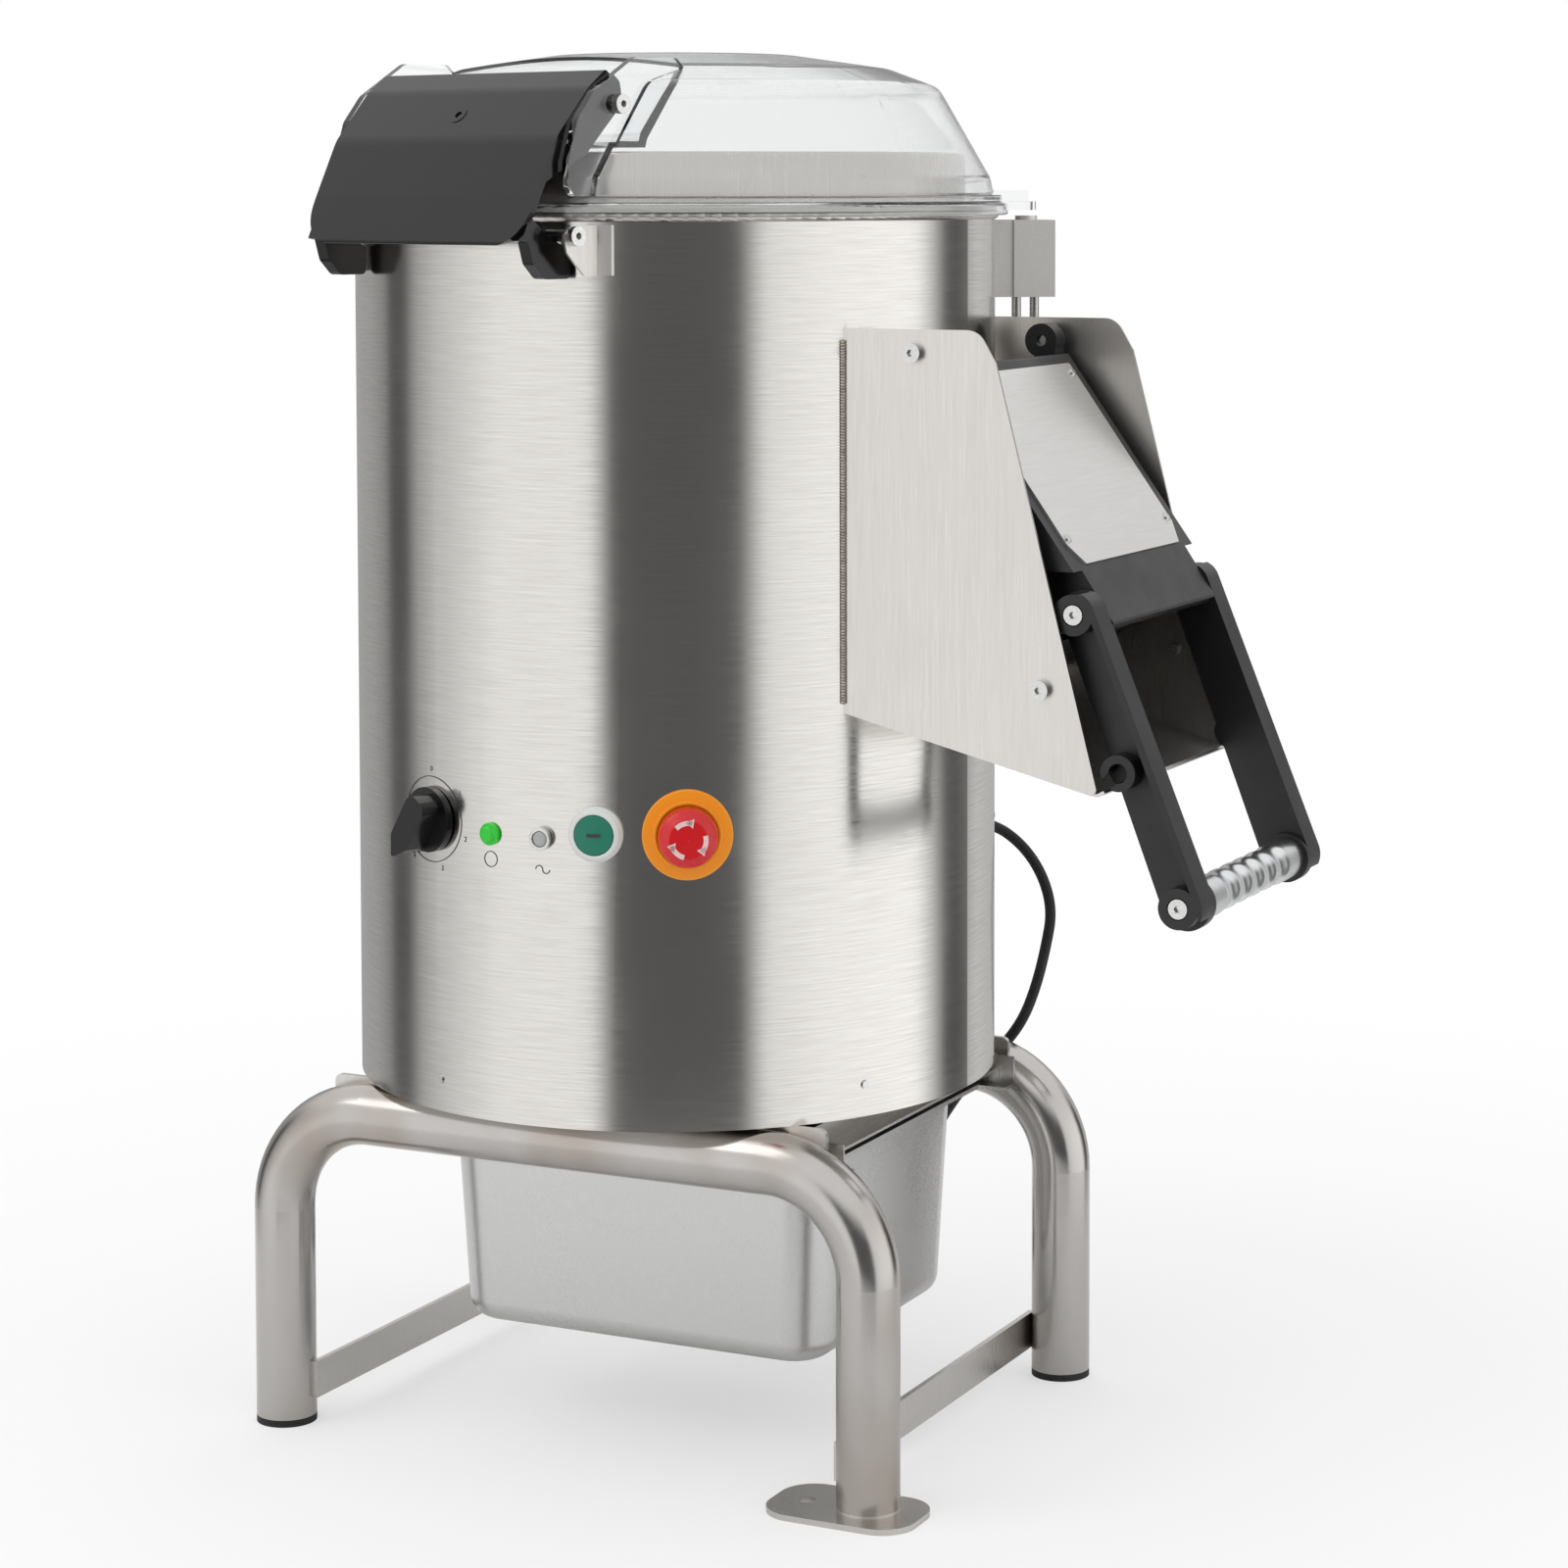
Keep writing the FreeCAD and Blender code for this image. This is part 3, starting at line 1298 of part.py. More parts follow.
save("run_lamp", lamp(run_lamp_az))
save("power_lamp", lamp(power_lamp_az))
save("start_bezel", start_bezel())
save("start_button", start_button())
save("stop_plate", stop_plate())
save("stop_button", stop_button())
save("interlock_box", interlock_box())
save("interlock_rods", interlock_rods())
save("pan", pan())
save("pan_rails", pan_rails())
save("pan_cross_rail", pan_cross_rail())
save("bearing_housing", bearing_housing())
save("peeling_disc", peeling_disc())
save("big_pulley", big_pulley())
save("motor_pulley", small_pulley())
save("drive_belt", belt())
save("motor", motor())
save("motor_plate", motor_plate())
save("drum_screws", drum_screws())
save("water_inlet", water_inlet())
save("cable_gland", cable_gland())
save("power_cord", cord_tube(cord_route(), "cord"))
save("cord_coil", cord_coil())
save("cord_tail", cord_tube(tail_route(), "tail"))
save("plug", plug())
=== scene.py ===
# %% [markdown]
# An electric potato peeler: a steel drum on a tube stand, a clear clamped lid, a side chute with
# a lever door, a row of controls and a gastronorm pan below. The construction comes from the
# imported solids, so this script only dresses them: it gives every part a finish, and models what
# is too fine or too soft for the solids. First the tools and the imported solids.

# %% The frame and its solids
import bpy
import json
import math
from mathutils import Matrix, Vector


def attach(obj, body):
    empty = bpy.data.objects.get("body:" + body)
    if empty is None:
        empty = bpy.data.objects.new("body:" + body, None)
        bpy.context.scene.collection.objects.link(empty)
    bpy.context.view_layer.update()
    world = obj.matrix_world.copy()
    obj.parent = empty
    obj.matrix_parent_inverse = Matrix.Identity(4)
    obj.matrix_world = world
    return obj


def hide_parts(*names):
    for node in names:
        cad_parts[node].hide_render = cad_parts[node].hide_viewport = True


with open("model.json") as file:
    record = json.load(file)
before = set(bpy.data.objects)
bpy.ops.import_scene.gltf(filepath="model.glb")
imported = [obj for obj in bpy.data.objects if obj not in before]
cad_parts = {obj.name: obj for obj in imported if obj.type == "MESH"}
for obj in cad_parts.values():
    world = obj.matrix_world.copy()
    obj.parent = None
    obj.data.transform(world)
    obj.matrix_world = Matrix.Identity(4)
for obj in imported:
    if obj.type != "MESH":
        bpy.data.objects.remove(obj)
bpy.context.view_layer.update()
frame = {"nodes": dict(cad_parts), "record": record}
MM = 0.001

# %% [markdown]
# The camera comes next, so that every later step can be judged from the same place. Its place
# and lens were solved from known points of the object. The picture plane is lifted instead of
# tilting the camera, as on a product stand, which keeps the drum's sides nearly upright.

# %% Camera
camera_azimuth = 0.4925
camera_distance = 2.7316
camera_height = 0.8756
camera_pitch = 0.06124
camera_yaw = 0.04834
focal_px = 3922.2
picture_px = 1600
centre_px = (880.0, 424.9)

bpy.ops.object.camera_add(location=(
    camera_distance * math.sin(camera_azimuth), -camera_distance * math.cos(camera_azimuth), camera_height))
camera = bpy.context.active_object
camera.rotation_euler = (math.pi / 2 - camera_pitch, 0.00099, camera_azimuth - camera_yaw)
camera.data.sensor_width = 36.0
camera.data.lens = focal_px / picture_px * camera.data.sensor_width
camera.data.shift_x = (picture_px / 2 - centre_px[0]) / picture_px
camera.data.shift_y = (centre_px[1] - picture_px / 2) / picture_px
scene = bpy.context.scene
scene.camera = camera
scene.view_settings.view_transform = "Standard"
print("lens", round(camera.data.lens, 1))

# %% [markdown]
# Materials are built from nodes. One helper adds a node with its settings and links, and one
# turns a hex colour into the linear values that the sockets expect.

# %% Node helpers
def linear(hex_colour):
    values = [int(hex_colour[i:i + 2], 16) / 255 for i in (1, 3, 5)]
    return tuple(v / 12.92 if v <= 0.04045 else ((v + 0.055) / 1.055) ** 2.4 for v in values) + (1.0,)


def node(tree, kind, inputs=None, **settings):
    new = tree.nodes.new(kind)
    for name, value in settings.items():
        setattr(new, name, value)
    for name, value in (inputs or {}).items():
        socket = new.inputs[name]
        if isinstance(value, bpy.types.NodeSocket):
            tree.links.new(value, socket)
        elif isinstance(value, str):
            socket.default_value = linear(value)
        else:
            socket.default_value = value
    return new


def new_material(name):
    made = bpy.data.materials.new(name)
    made.use_nodes = True
    made.node_tree.nodes.clear()
    return made, made.node_tree


def surface(tree, **inputs):
    shader = node(tree, "ShaderNodeBsdfPrincipled", {k.replace("_", " "): v for k, v in inputs.items()})
    node(tree, "ShaderNodeOutputMaterial", {"Surface": shader.outputs[0]})
    return shader


def scaled_pattern(tree, scale, detail=5.0, roughness=0.6, source=None):
    if source is None:
        source = node(tree, "ShaderNodeTexCoord").outputs["Object"]
    place = node(tree, "ShaderNodeMapping", {"Vector": source, "Scale": scale})
    noise = node(tree, "ShaderNodeTexNoise",
                 {"Vector": place.outputs[0], "Scale": 1.0, "Detail": detail, "Roughness": roughness})
    return noise.outputs["Fac"]


def between(tree, factor, low, high, start=0.3, stop=0.7):
    span = {"Value": factor, "From Min": start, "From Max": stop, "To Min": low, "To Max": high}
    return node(tree, "ShaderNodeMapRange", span).outputs[0]


def blend_colours(tree, factor, first, second):
    mix = node(tree, "ShaderNodeMix", data_type="RGBA")
    tree.links.new(factor, mix.inputs[0])
    mix.inputs[6].default_value = linear(first)
    mix.inputs[7].default_value = linear(second)
    return mix.outputs[2]


def bump(tree, height, distance, strength=1.0):
    relief = {"Height": height, "Distance": distance, "Strength": strength}
    return node(tree, "ShaderNodeBump", relief).outputs[0]


# %% [markdown]
# Most of the machine is stainless steel, and what tells its parts apart is how each surface was
# made. The drum was polished with a belt while it turned, so its fine lines run round it. The
# lines need a coordinate that runs round the drum: the angle about its axis, times its radius.

# %% Brushed steel round the drum
drum_r = 226 * MM
scratch_gap = 1.5 * MM
scratch_length = 45 * MM


def round_the_drum(tree):
    where = node(tree, "ShaderNodeTexCoord").outputs["Object"]
    split = node(tree, "ShaderNodeSeparateXYZ", {"Vector": where})
    angle = node(tree, "ShaderNodeMath", {0: split.outputs[1], 1: split.outputs[0]}, operation="ARCTAN2")
    arc = node(tree, "ShaderNodeMath", {0: angle.outputs[0], 1: drum_r}, operation="MULTIPLY")
    return node(tree, "ShaderNodeCombineXYZ", {0: arc.outputs[0], 2: split.outputs[2]}).outputs[0]


def brushed_steel(name, light, dark, low, high, scale, source=None, depth=0.00002):
    made, tree = new_material(name)
    where = source(tree) if source else None
    lines = scaled_pattern(tree, scale, 6.0, 0.7, where)
    clouds = scaled_pattern(tree, (9.0, 9.0, 5.0), 3.0, 0.5)
    streaks = between(tree, lines, low, high)
    drift = between(tree, clouds, -0.03, 0.03)
    gloss = node(tree, "ShaderNodeMath", {0: streaks, 1: drift}, operation="ADD")
    surface(tree, Metallic=1.0, Base_Color=blend_colours(tree, between(tree, lines, 0.0, 1.0), light, dark),
            Roughness=gloss.outputs[0], Normal=bump(tree, lines, depth, 0.5))
    return made


belt_polished_drum = brushed_steel(
    "belt polished stainless drum", "#DAD8D4", "#C9C6C1", 0.13, 0.22,
    (1 / scratch_length, 1.0, 1 / scratch_gap), round_the_drum, depth=0.000006)
print(belt_polished_drum.name)

# %% [markdown]
# Cut sheet keeps the mill's straight grain, welded tube is polished along its length and shows
# a faint straw tint from the heat at its bends, and the drawn pan is satin with no direction.

# %% Other steels
sheet_grain = brushed_steel(
    "grained stainless sheet", "#D2CFCB", "#CAC7C3", 0.26, 0.34, (700.0, 700.0, 25.0), depth=0.000015)
drawn_pan_steel = brushed_steel(
    "drawn satin stainless pan", "#CFCFCE", "#C9C9C8", 0.27, 0.32, (400.0, 400.0, 400.0), depth=0.00001)
cover_plate_steel = brushed_steel(
    "bright annealed cover plate", "#E2E1DF", "#DAD9D6", 0.30, 0.36, (500.0, 25.0, 500.0), depth=0.000004)
blasted_box_steel = brushed_steel(
    "bead blasted stainless box", "#DEDCD9", "#D4D2CF", 0.48, 0.56, (600.0, 600.0, 600.0), depth=0.00002)
bright_fastener = brushed_steel(
    "bright stainless fastener", "#D8D8D6", "#BDBDBB", 0.14, 0.24, (700.0, 700.0, 700.0))
turned_steel = brushed_steel("turned machine steel", "#B9B8B5", "#A3A29F", 0.24, 0.34, (60.0, 60.0, 1500.0))
cast_aluminium = brushed_steel(
    "sand cast aluminium", "#B4B5B6", "#9C9D9F", 0.45, 0.62, (420.0, 420.0, 420.0), depth=0.0003)
turned_aluminium = brushed_steel(
    "satin turned aluminium", "#E0E1E2", "#D2D3D4", 0.20, 0.28, (40.0, 1200.0, 40.0))


def polished_tube_steel(name):
    made, tree = new_material(name)
    lines = scaled_pattern(tree, (26.0, 90.0, 26.0), 4.0, 0.6)
    tint = scaled_pattern(tree, (11.0, 11.0, 7.0), 2.0, 0.5)
    warm = blend_colours(tree, between(tree, tint, 0.0, 1.0, 0.5, 0.75), "#B9B6B3", "#A99E95")
    surface(tree, Metallic=1.0, Base_Color=warm, Roughness=between(tree, lines, 0.15, 0.25),
            Normal=bump(tree, lines, 0.00004, 0.3))
    return made


polished_tube = polished_tube_steel("polished welded stainless tube")

# %% [markdown]
# The lever, the door and the clamp are glass-filled nylon mouldings: black, with the fine
# sparkle of a spark-eroded mould. Controls are glossy plastics, the seal and feet are rubber.

# %% Plastics and rubber
def moulding(name, light, dark, low, high, grain=900.0, depth=0.00004, **extra):
    made, tree = new_material(name)
    fine = scaled_pattern(tree, (grain, grain, grain), 3.0, 0.6)
    broad = scaled_pattern(tree, (25.0, 25.0, 25.0), 3.0, 0.5)
    surface(tree, Base_Color=blend_colours(tree, broad, light, dark),
            Roughness=between(tree, broad, low, high), Normal=bump(tree, fine, depth, 0.6), **extra)
    return made


black_nylon = moulding("spark grained black nylon", "#19191B", "#121214", 0.36, 0.48)
polished_nylon = moulding("polished black nylon clamp", "#110F0F", "#0B0A0A", 0.10, 0.17, 160.0, 0.00001,
                          Specular_IOR_Level=0.4)
knob_plastic = moulding("glossy black knob phenolic", "#101012", "#0A0A0C", 0.16, 0.24, 400.0, 0.00001)
green_lens = moulding("lit green lamp lens", "#22B02C", "#18A022", 0.12, 0.2, 300.0, 0.00001,
                      Emission_Color="#18C028", Emission_Strength=0.25)
green_cap = moulding("green push cap ABS", "#0F7A60", "#0B6E56", 0.28, 0.36)
pale_ring = moulding("pale grey bezel polycarbonate", "#D9DDDA", "#CBD0CD", 0.25, 0.34)
yellow_plate = moulding("amber anodised legend plate", "#F59A12", "#EE8F0A", 0.32, 0.42)
red_cap = moulding("red mushroom cap ABS", "#D2141E", "#C40F19", 0.22, 0.30)
black_rubber = moulding("black rubber", "#161616", "#0F0F0F", 0.55, 0.7, 500.0, 0.0001)
white_silicone = moulding("white silicone seal", "#DAD9D4", "#CFCEC8", 0.45, 0.55)
motor_paint = moulding("grey stoved motor paint", "#4A4F56", "#42474D", 0.40, 0.5, 300.0, 0.0001)
print_ink = moulding("dark grey screen print", "#3A3A3A", "#303030", 0.5, 0.6)
white_ink = moulding("pale pad print", "#E7C9C6", "#E0BFBB", 0.45, 0.55)


def clear_moulding(name, tint, low, high):
    made, tree = new_material(name)
    flow = scaled_pattern(tree, (6.0, 6.0, 6.0), 3.0, 0.5)
    surface(tree, Base_Color=tint, Transmission_Weight=1.0, IOR=1.585,
            Roughness=between(tree, flow, low, high), Normal=bump(tree, flow, 0.0006, 0.25))
    return made


clear_lid = clear_moulding("clear polycarbonate lid", "#FAFBFB", 0.01, 0.05)
clear_lamp = moulding(
    "smoked grey lamp lens", "#A9ABAA", "#8E908F", 0.08, 0.16, 300.0, 0.00001, Coat_Weight=0.6)


def grit_liner(name):
    # Carbide grit bonded to the liner, drawn 2.5 mm coarse so that it still shows through the lid
    made, tree = new_material(name)
    grains = node(tree, "ShaderNodeTexVoronoi",
                  {"Vector": node(tree, "ShaderNodeTexCoord").outputs["Object"], "Scale": 1 / (2.5 * MM)})
    height = grains.outputs["Distance"]
    surface(tree, Base_Color=blend_colours(tree, height, "#4E5053", "#26282A"), Roughness=0.75,
            Normal=bump(tree, height, 0.0012, 0.9))
    return made


grit = grit_liner("bonded carbide grit")

# %% [markdown]
# Each node of the solids gets the finish that its slot in the record stands for.

# %% Finishes on the solids
finish_of_slot = {
    "brushed_drum": belt_polished_drum, "satin_sheet": sheet_grain, "polished_tube": polished_tube,
    "drawn_pan": drawn_pan_steel, "bright_screws": bright_fastener, "machined_steel": turned_steel,
    "cast_aluminium": cast_aluminium, "turned_aluminium": turned_aluminium, "black_moulding": black_nylon,
    "gloss_black": polished_nylon, "clear_lid": clear_lid, "clear_lamp": clear_lamp, "green_lens": green_lens,
    "green_button": green_cap, "pale_bezel": pale_ring, "yellow_plate": yellow_plate, "red_cap": red_cap,
    "black_rubber": black_rubber, "white_seal": white_silicone, "grit": grit, "motor_paint": motor_paint,
}
slot_of_node = {part["node"]: part["material_slot"] for part in frame["record"]["subparts"]}
for name, solid in frame["nodes"].items():
    solid.data.materials.clear()
    solid.data.materials.append(finish_of_slot[slot_of_node[name]])
frame["nodes"]["timer_knob"].data.materials[0] = knob_plastic
frame["nodes"]["door_cover"].data.materials[0] = cover_plate_steel
frame["nodes"]["interlock_box"].data.materials[0] = blasted_box_steel
print("dressed", len(frame["nodes"]), "solids")

# %% [markdown]
# Small helpers for modelling. A primitive is added at its size and place with nothing else
# selected, and a finished piece has its place applied into its mesh.

# %% Modelling helpers
def only(*objects):
    bpy.ops.object.select_all(action="DESELECT")
    for thing in objects:
        thing.select_set(True)
    bpy.context.view_layer.objects.active = objects[0]


def finished(thing, name, finish, body, angle=35):
    only(thing)
    bpy.ops.object.transform_apply(location=True, rotation=True, scale=True)
    bpy.ops.object.shade_smooth_by_angle(angle=math.radians(angle))
    thing.name = thing.data.name = name
    thing.data.materials.clear()
    thing.data.materials.append(finish)
    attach(thing, body)
    return thing


def rod(radius, depth, place, along=(0, 0, 1), sides=48):
    bpy.ops.object.select_all(action="DESELECT")
    bpy.ops.mesh.primitive_cylinder_add(radius=radius * MM, depth=depth * MM, vertices=sides,
                                        location=Vector(place) * MM,
                                        rotation=Vector(along).to_track_quat("Z", "Y").to_euler())
    return bpy.context.active_object


def carve(target, tool, how="DIFFERENCE"):
    only(target)
    cut = target.modifiers.new("cut", "BOOLEAN")
    cut.operation = how
    cut.object = tool
    cut.solver = "EXACT"
    bpy.ops.object.modifier_apply(modifier=cut.name)
    bpy.data.objects.remove(tool)
    return target


def joined(things):
    only(*things)
    bpy.ops.object.join()
    return bpy.context.active_object


def placed(thing):
    only(thing)
    bpy.ops.object.transform_apply(location=True, rotation=True, scale=True)
    return thing


def softened(thing, width, segments):
    # Breaks the sharp edges with a small bevel
    only(thing)
    soft = thing.modifiers.new("soft", "BEVEL")
    soft.width = width * MM
    soft.segments = segments
    bpy.ops.object.modifier_apply(modifier=soft.name)
    return thing


def at_azimuth(thing, azimuth_deg):
    # Turn an object with its mesh in place about the drum's axis
    placed(thing)
    thing.rotation_euler = (0, 0, math.radians(azimuth_deg))
    return placed(thing)


# %% [markdown]
# The dial and the symbols are screen printed on the curved drum. A print has no thickness to
# speak of, so each is cut out of a thin shell, 0.25 mm proud of the drum: the shell gives
# the curve, and the cutter gives the outline. That keeps lines the same width all the way round.

# %% Prints on the drum
print_out_r = 226.25
print_in_r = 226.02
shell_sides = 512


def print_shell(half_width, z, half_height):
    shell = rod(print_out_r, 2 * half_height, (0, 0, z), sides=shell_sides)
    carve(shell, rod(print_in_r, 2 * half_height + 2, (0, 0, z), sides=shell_sides))
    bpy.ops.object.select_all(action="DESELECT")
    bpy.ops.mesh.primitive_cube_add(size=1, location=(0, -drum_r, z * MM))
    window = bpy.context.active_object
    window.scale = (2 * half_width * MM, 0.08, 2 * half_height * MM)
    return carve(shell, placed(window), "INTERSECT")


def printed(name, cutters, azimuth_deg, z, half_width, half_height):
    marks = joined([carve(print_shell(half_width, z, half_height), cutter, "INTERSECT")
                    for cutter in cutters])
    print(name, len(marks.data.polygons), "faces")
    return finished(at_azimuth(marks, azimuth_deg), name, print_ink, "housing")


def ring_cutter(outer, inner, z, x=0.0):
    ring = rod(outer, 30, (x, -226, z), (0, -1, 0), 96)
    return carve(ring, rod(inner, 32, (x, -226, z), (0, -1, 0), 96))


control_z = 447.0
timer_azimuth = -19.0
dial_circle_r = 29.2
run_lamp_azimuth = -5.3
run_symbol_z = control_z - 21.5
run_symbol_r = 5.4
line_width = 0.6
dial_cutter = ring_cutter(dial_circle_r, dial_circle_r - line_width, control_z)
run_cutter = ring_cutter(run_symbol_r, run_symbol_r - line_width, run_symbol_z)
printed("dial_circle", [dial_cutter], timer_azimuth, control_z, 33, 33)
printed("run_symbol", [run_cutter], run_lamp_azimuth, run_symbol_z, 8, 8)
print("printed the dial ring and the run symbol")

# %% [markdown]
# Dial numbers are text, made into a mesh with a little thickness. Each number is only a few
# millimetres wide, so it can stay flat and stand at its own azimuth on the drum.

# %% Dial numbers
def number_on_drum(text, azimuth_deg, z, size):
    bpy.ops.object.select_all(action="DESELECT")
    bpy.ops.object.text_add(location=(0, -drum_r - 0.1 * MM, z * MM), rotation=(math.pi / 2, 0, 0))
    label = bpy.context.active_object
    label.data.body = text
    label.data.size = size * MM
    label.data.extrude = 0.05 * MM
    label.data.align_x = label.data.align_y = "CENTER"
    bpy.ops.object.convert(target="MESH")
    label = bpy.context.active_object
    bpy.ops.object.mode_set(mode="EDIT")
    bpy.ops.mesh.select_all(action="SELECT")
    bpy.ops.mesh.remove_doubles(threshold=0.000002)
    bpy.ops.object.mode_set(mode="OBJECT")
    return at_azimuth(label, azimuth_deg)


dial_number_r = 34.0
dial_number_size = 5.0
numbers = []
for step, word in enumerate(("0", "1", "2", "3", "4", "5")):
    turn = math.radians(90 - 54 * step)
    across = math.degrees(dial_number_r * math.cos(turn) / 226)
    up = dial_number_r * math.sin(turn)
    numbers.append(number_on_drum(word, timer_azimuth + across, control_z + up, dial_number_size))
finished(joined(numbers), "dial_numbers", print_ink, "housing")
print("dial numbers", len(numbers))

# %% [markdown]
# The mushroom cap has three bent arrows that show which way it unlocks, and the start cap a bar.
# They are pad prints on caps that are nearly flat, so they stay flat. An arrow's shaft is a short
# edge spun about the cap's axis, and its head is a three-sided disc turned along the shaft.

# %% Bent arrows
arrow_in_r = 9.8
arrow_out_r = 13.0
arrow_sweep_deg = 58.0
arrow_head_r = 3.6
stop_face_r = 249.55
start_face_r = 234.42


def ring_arrow(start_deg):
    middle_r = (arrow_in_r + arrow_out_r) / 2
    hub = (0, -stop_face_r * MM, control_z * MM)
    bpy.ops.object.select_all(action="DESELECT")
    bpy.ops.mesh.primitive_plane_add(size=1, location=hub, rotation=(math.pi / 2, 0, 0))
    shaft = bpy.context.active_object
    shaft.scale = ((arrow_out_r - arrow_in_r) * MM, 0.2 * MM, 1)
    placed(shaft)
    bpy.ops.object.mode_set(mode="EDIT")
    bpy.ops.mesh.select_all(action="SELECT")
    bpy.ops.transform.translate(value=(middle_r * MM, 0, 0))
    bpy.ops.object.mode_set(mode="OBJECT")
    top = max(v.co.z for v in shaft.data.vertices)
    for vertex in shaft.data.vertices:
        vertex.select = vertex.co.z > top - 0.00001
    for edge in shaft.data.edges:
        edge.select = all(shaft.data.vertices[k].select for k in edge.vertices)
    for face in shaft.data.polygons:
        face.select = False
    bpy.ops.object.mode_set(mode="EDIT")
    bpy.ops.mesh.select_mode(type="EDGE")
    bpy.ops.mesh.spin(steps=14, angle=math.radians(-arrow_sweep_deg), center=hub, axis=(0, 1, 0))
    bpy.ops.object.mode_set(mode="OBJECT")
    end = math.radians(arrow_sweep_deg + 9)
    tip_place = (hub[0] + middle_r * MM * math.cos(end), hub[1], hub[2] + middle_r * MM * math.sin(end))
    bpy.ops.object.select_all(action="DESELECT")
    bpy.ops.mesh.primitive_circle_add(vertices=3, radius=arrow_head_r * MM, fill_type="NGON",
                                      location=tip_place, rotation=(math.pi / 2, -end, 0))
    head = placed(bpy.context.active_object)
    arrow = joined([shaft, head])
    only(arrow)
    bpy.context.scene.cursor.location = hub
    bpy.ops.object.origin_set(type="ORIGIN_CURSOR")
    arrow.rotation_euler = (0, math.radians(-start_deg), 0)
    return placed(arrow)


def film(flat, thickness):
    # Gives a flat print its thickness, most of it sunk into the cap
    only(flat)
    bpy.ops.object.mode_set(mode="EDIT")
    bpy.ops.mesh.select_all(action="SELECT")
    bpy.ops.mesh.remove_doubles(threshold=0.000001)
    bpy.ops.mesh.normals_make_consistent(inside=False)
    bpy.ops.object.mode_set(mode="OBJECT")
    ink = flat.modifiers.new("ink", "SOLIDIFY")
    ink.thickness = thickness * MM
    ink.offset = 0.0
    bpy.ops.object.modifier_apply(modifier=ink.name)
    return flat


stop_azimuth = 29.7
arrows = film(joined([ring_arrow(angle) for angle in (15, 135, 255)]), 0.5)
finished(at_azimuth(arrows, stop_azimuth), "stop_arrows", white_ink, "stop")
print("arrows", len(arrows.data.polygons), "faces")

# %% [markdown]
# The bar on the start cap is a small plane whose corners are rounded. The stop button stands in a
# raised collar of its amber plate: a tube with softened edges, since it is turned or moulded so.

# %% Start bar and the stop collar
start_azimuth = 14.4
bpy.ops.object.select_all(action="DESELECT")
bpy.ops.mesh.primitive_plane_add(size=1, location=(0, -start_face_r * MM, control_z * MM),
                                 rotation=(math.pi / 2, 0, 0))
start_bar = bpy.context.active_object
start_bar.scale = (9.5 * MM, 2.2 * MM, 1)
placed(start_bar)
bpy.ops.object.mode_set(mode="EDIT")
bpy.ops.mesh.select_all(action="SELECT")
bpy.ops.mesh.bevel(offset=0.8 * MM, segments=3, affect="VERTICES")
bpy.ops.object.mode_set(mode="OBJECT")
finished(at_azimuth(film(start_bar, 0.4), start_azimuth), "start_bar", print_ink, "start")

collar_out_r = 22.8
collar_in_r = 20.4
collar_middle = (0, -230.4, control_z)
collar = rod(collar_out_r, 4.0, collar_middle, (0, -1, 0), 96)
carve(collar, rod(collar_in_r, 6.0, collar_middle, (0, -1, 0), 96))
collar = at_azimuth(softened(collar, 0.7, 3), stop_azimuth)
finished(collar, "stop_collar", yellow_plate, "housing")
print("start bar and stop collar")

# %% [markdown]
# The second lamp is clear and sits in a bright metal ring that catches the light on its edge. A
# short tube does for it, with its edges softened so that they show a highlight.

# %% Metal ring of the clear lamp
power_lamp_azimuth = 4.8
lamp_ring_out_r = 7.7
lamp_ring_in_r = 5.3
lamp_ring_middle = (0, -228.7, 442.4)
lamp_ring = rod(lamp_ring_out_r, 4.6, lamp_ring_middle, (0, -1, 0), 64)
carve(lamp_ring, rod(lamp_ring_in_r, 8.0, lamp_ring_middle, (0, -1, 0), 64))
lamp_ring = at_azimuth(softened(lamp_ring, 0.4, 2), power_lamp_azimuth)
finished(lamp_ring, "lamp_ring", bright_fastener, "housing")
print("lamp ring")

# %% [markdown]
# Under that lamp is the wave that stands for mains current. Two half rings side by side, one
# opening down and one up, make it, and they are cut out of the same thin shell as the dial.

# %% Mains symbol under the second lamp
wave_out_r = 2.9
wave_in_r = 2.2
wave_half_x = 2.5
wave_z = 421.5


def half_ring(x, z, upper):
    half = ring_cutter(wave_out_r, wave_in_r, z, x)
    block_z = z - 5 if upper else z + 5
    bpy.ops.object.select_all(action="DESELECT")
    bpy.ops.mesh.primitive_cube_add(size=10 * MM, location=(x * MM, -226 * MM, block_z * MM))
    block = bpy.context.active_object
    block.scale = (1, 5, 1)
    return carve(half, placed(block))


wave_halves = [half_ring(-wave_half_x, wave_z, True), half_ring(wave_half_x, wave_z, False)]
printed("mains_symbol", wave_halves, power_lamp_azimuth, wave_z, 8, 6)

# %% [markdown]
# The two pan-head screws on the drum have a cross recess. Each head is a short rod with a wide
# bevel, and the recess is cut with two crossed bars. Two small rivets sit near the drum's foot.

# %% Cross-recess screws
def cross_screw(radius, height):
    head = rod(radius, height, (0, -226.2 - height / 2, 0), (0, -1, 0), 40)
    softened(head, 0.75 * height, 4)
    for turn in (0, 90):
        bpy.ops.object.select_all(action="DESELECT")
        bpy.ops.mesh.primitive_cube_add(size=1, location=(0, (-226.2 - height) * MM, 0),
                                        rotation=(0, math.radians(turn + 20), 0))
        bar = bpy.context.active_object
        bar.scale = (1.25 * radius * MM, 1.6 * MM, 0.28 * radius * MM)
        carve(head, placed(bar))
    return head


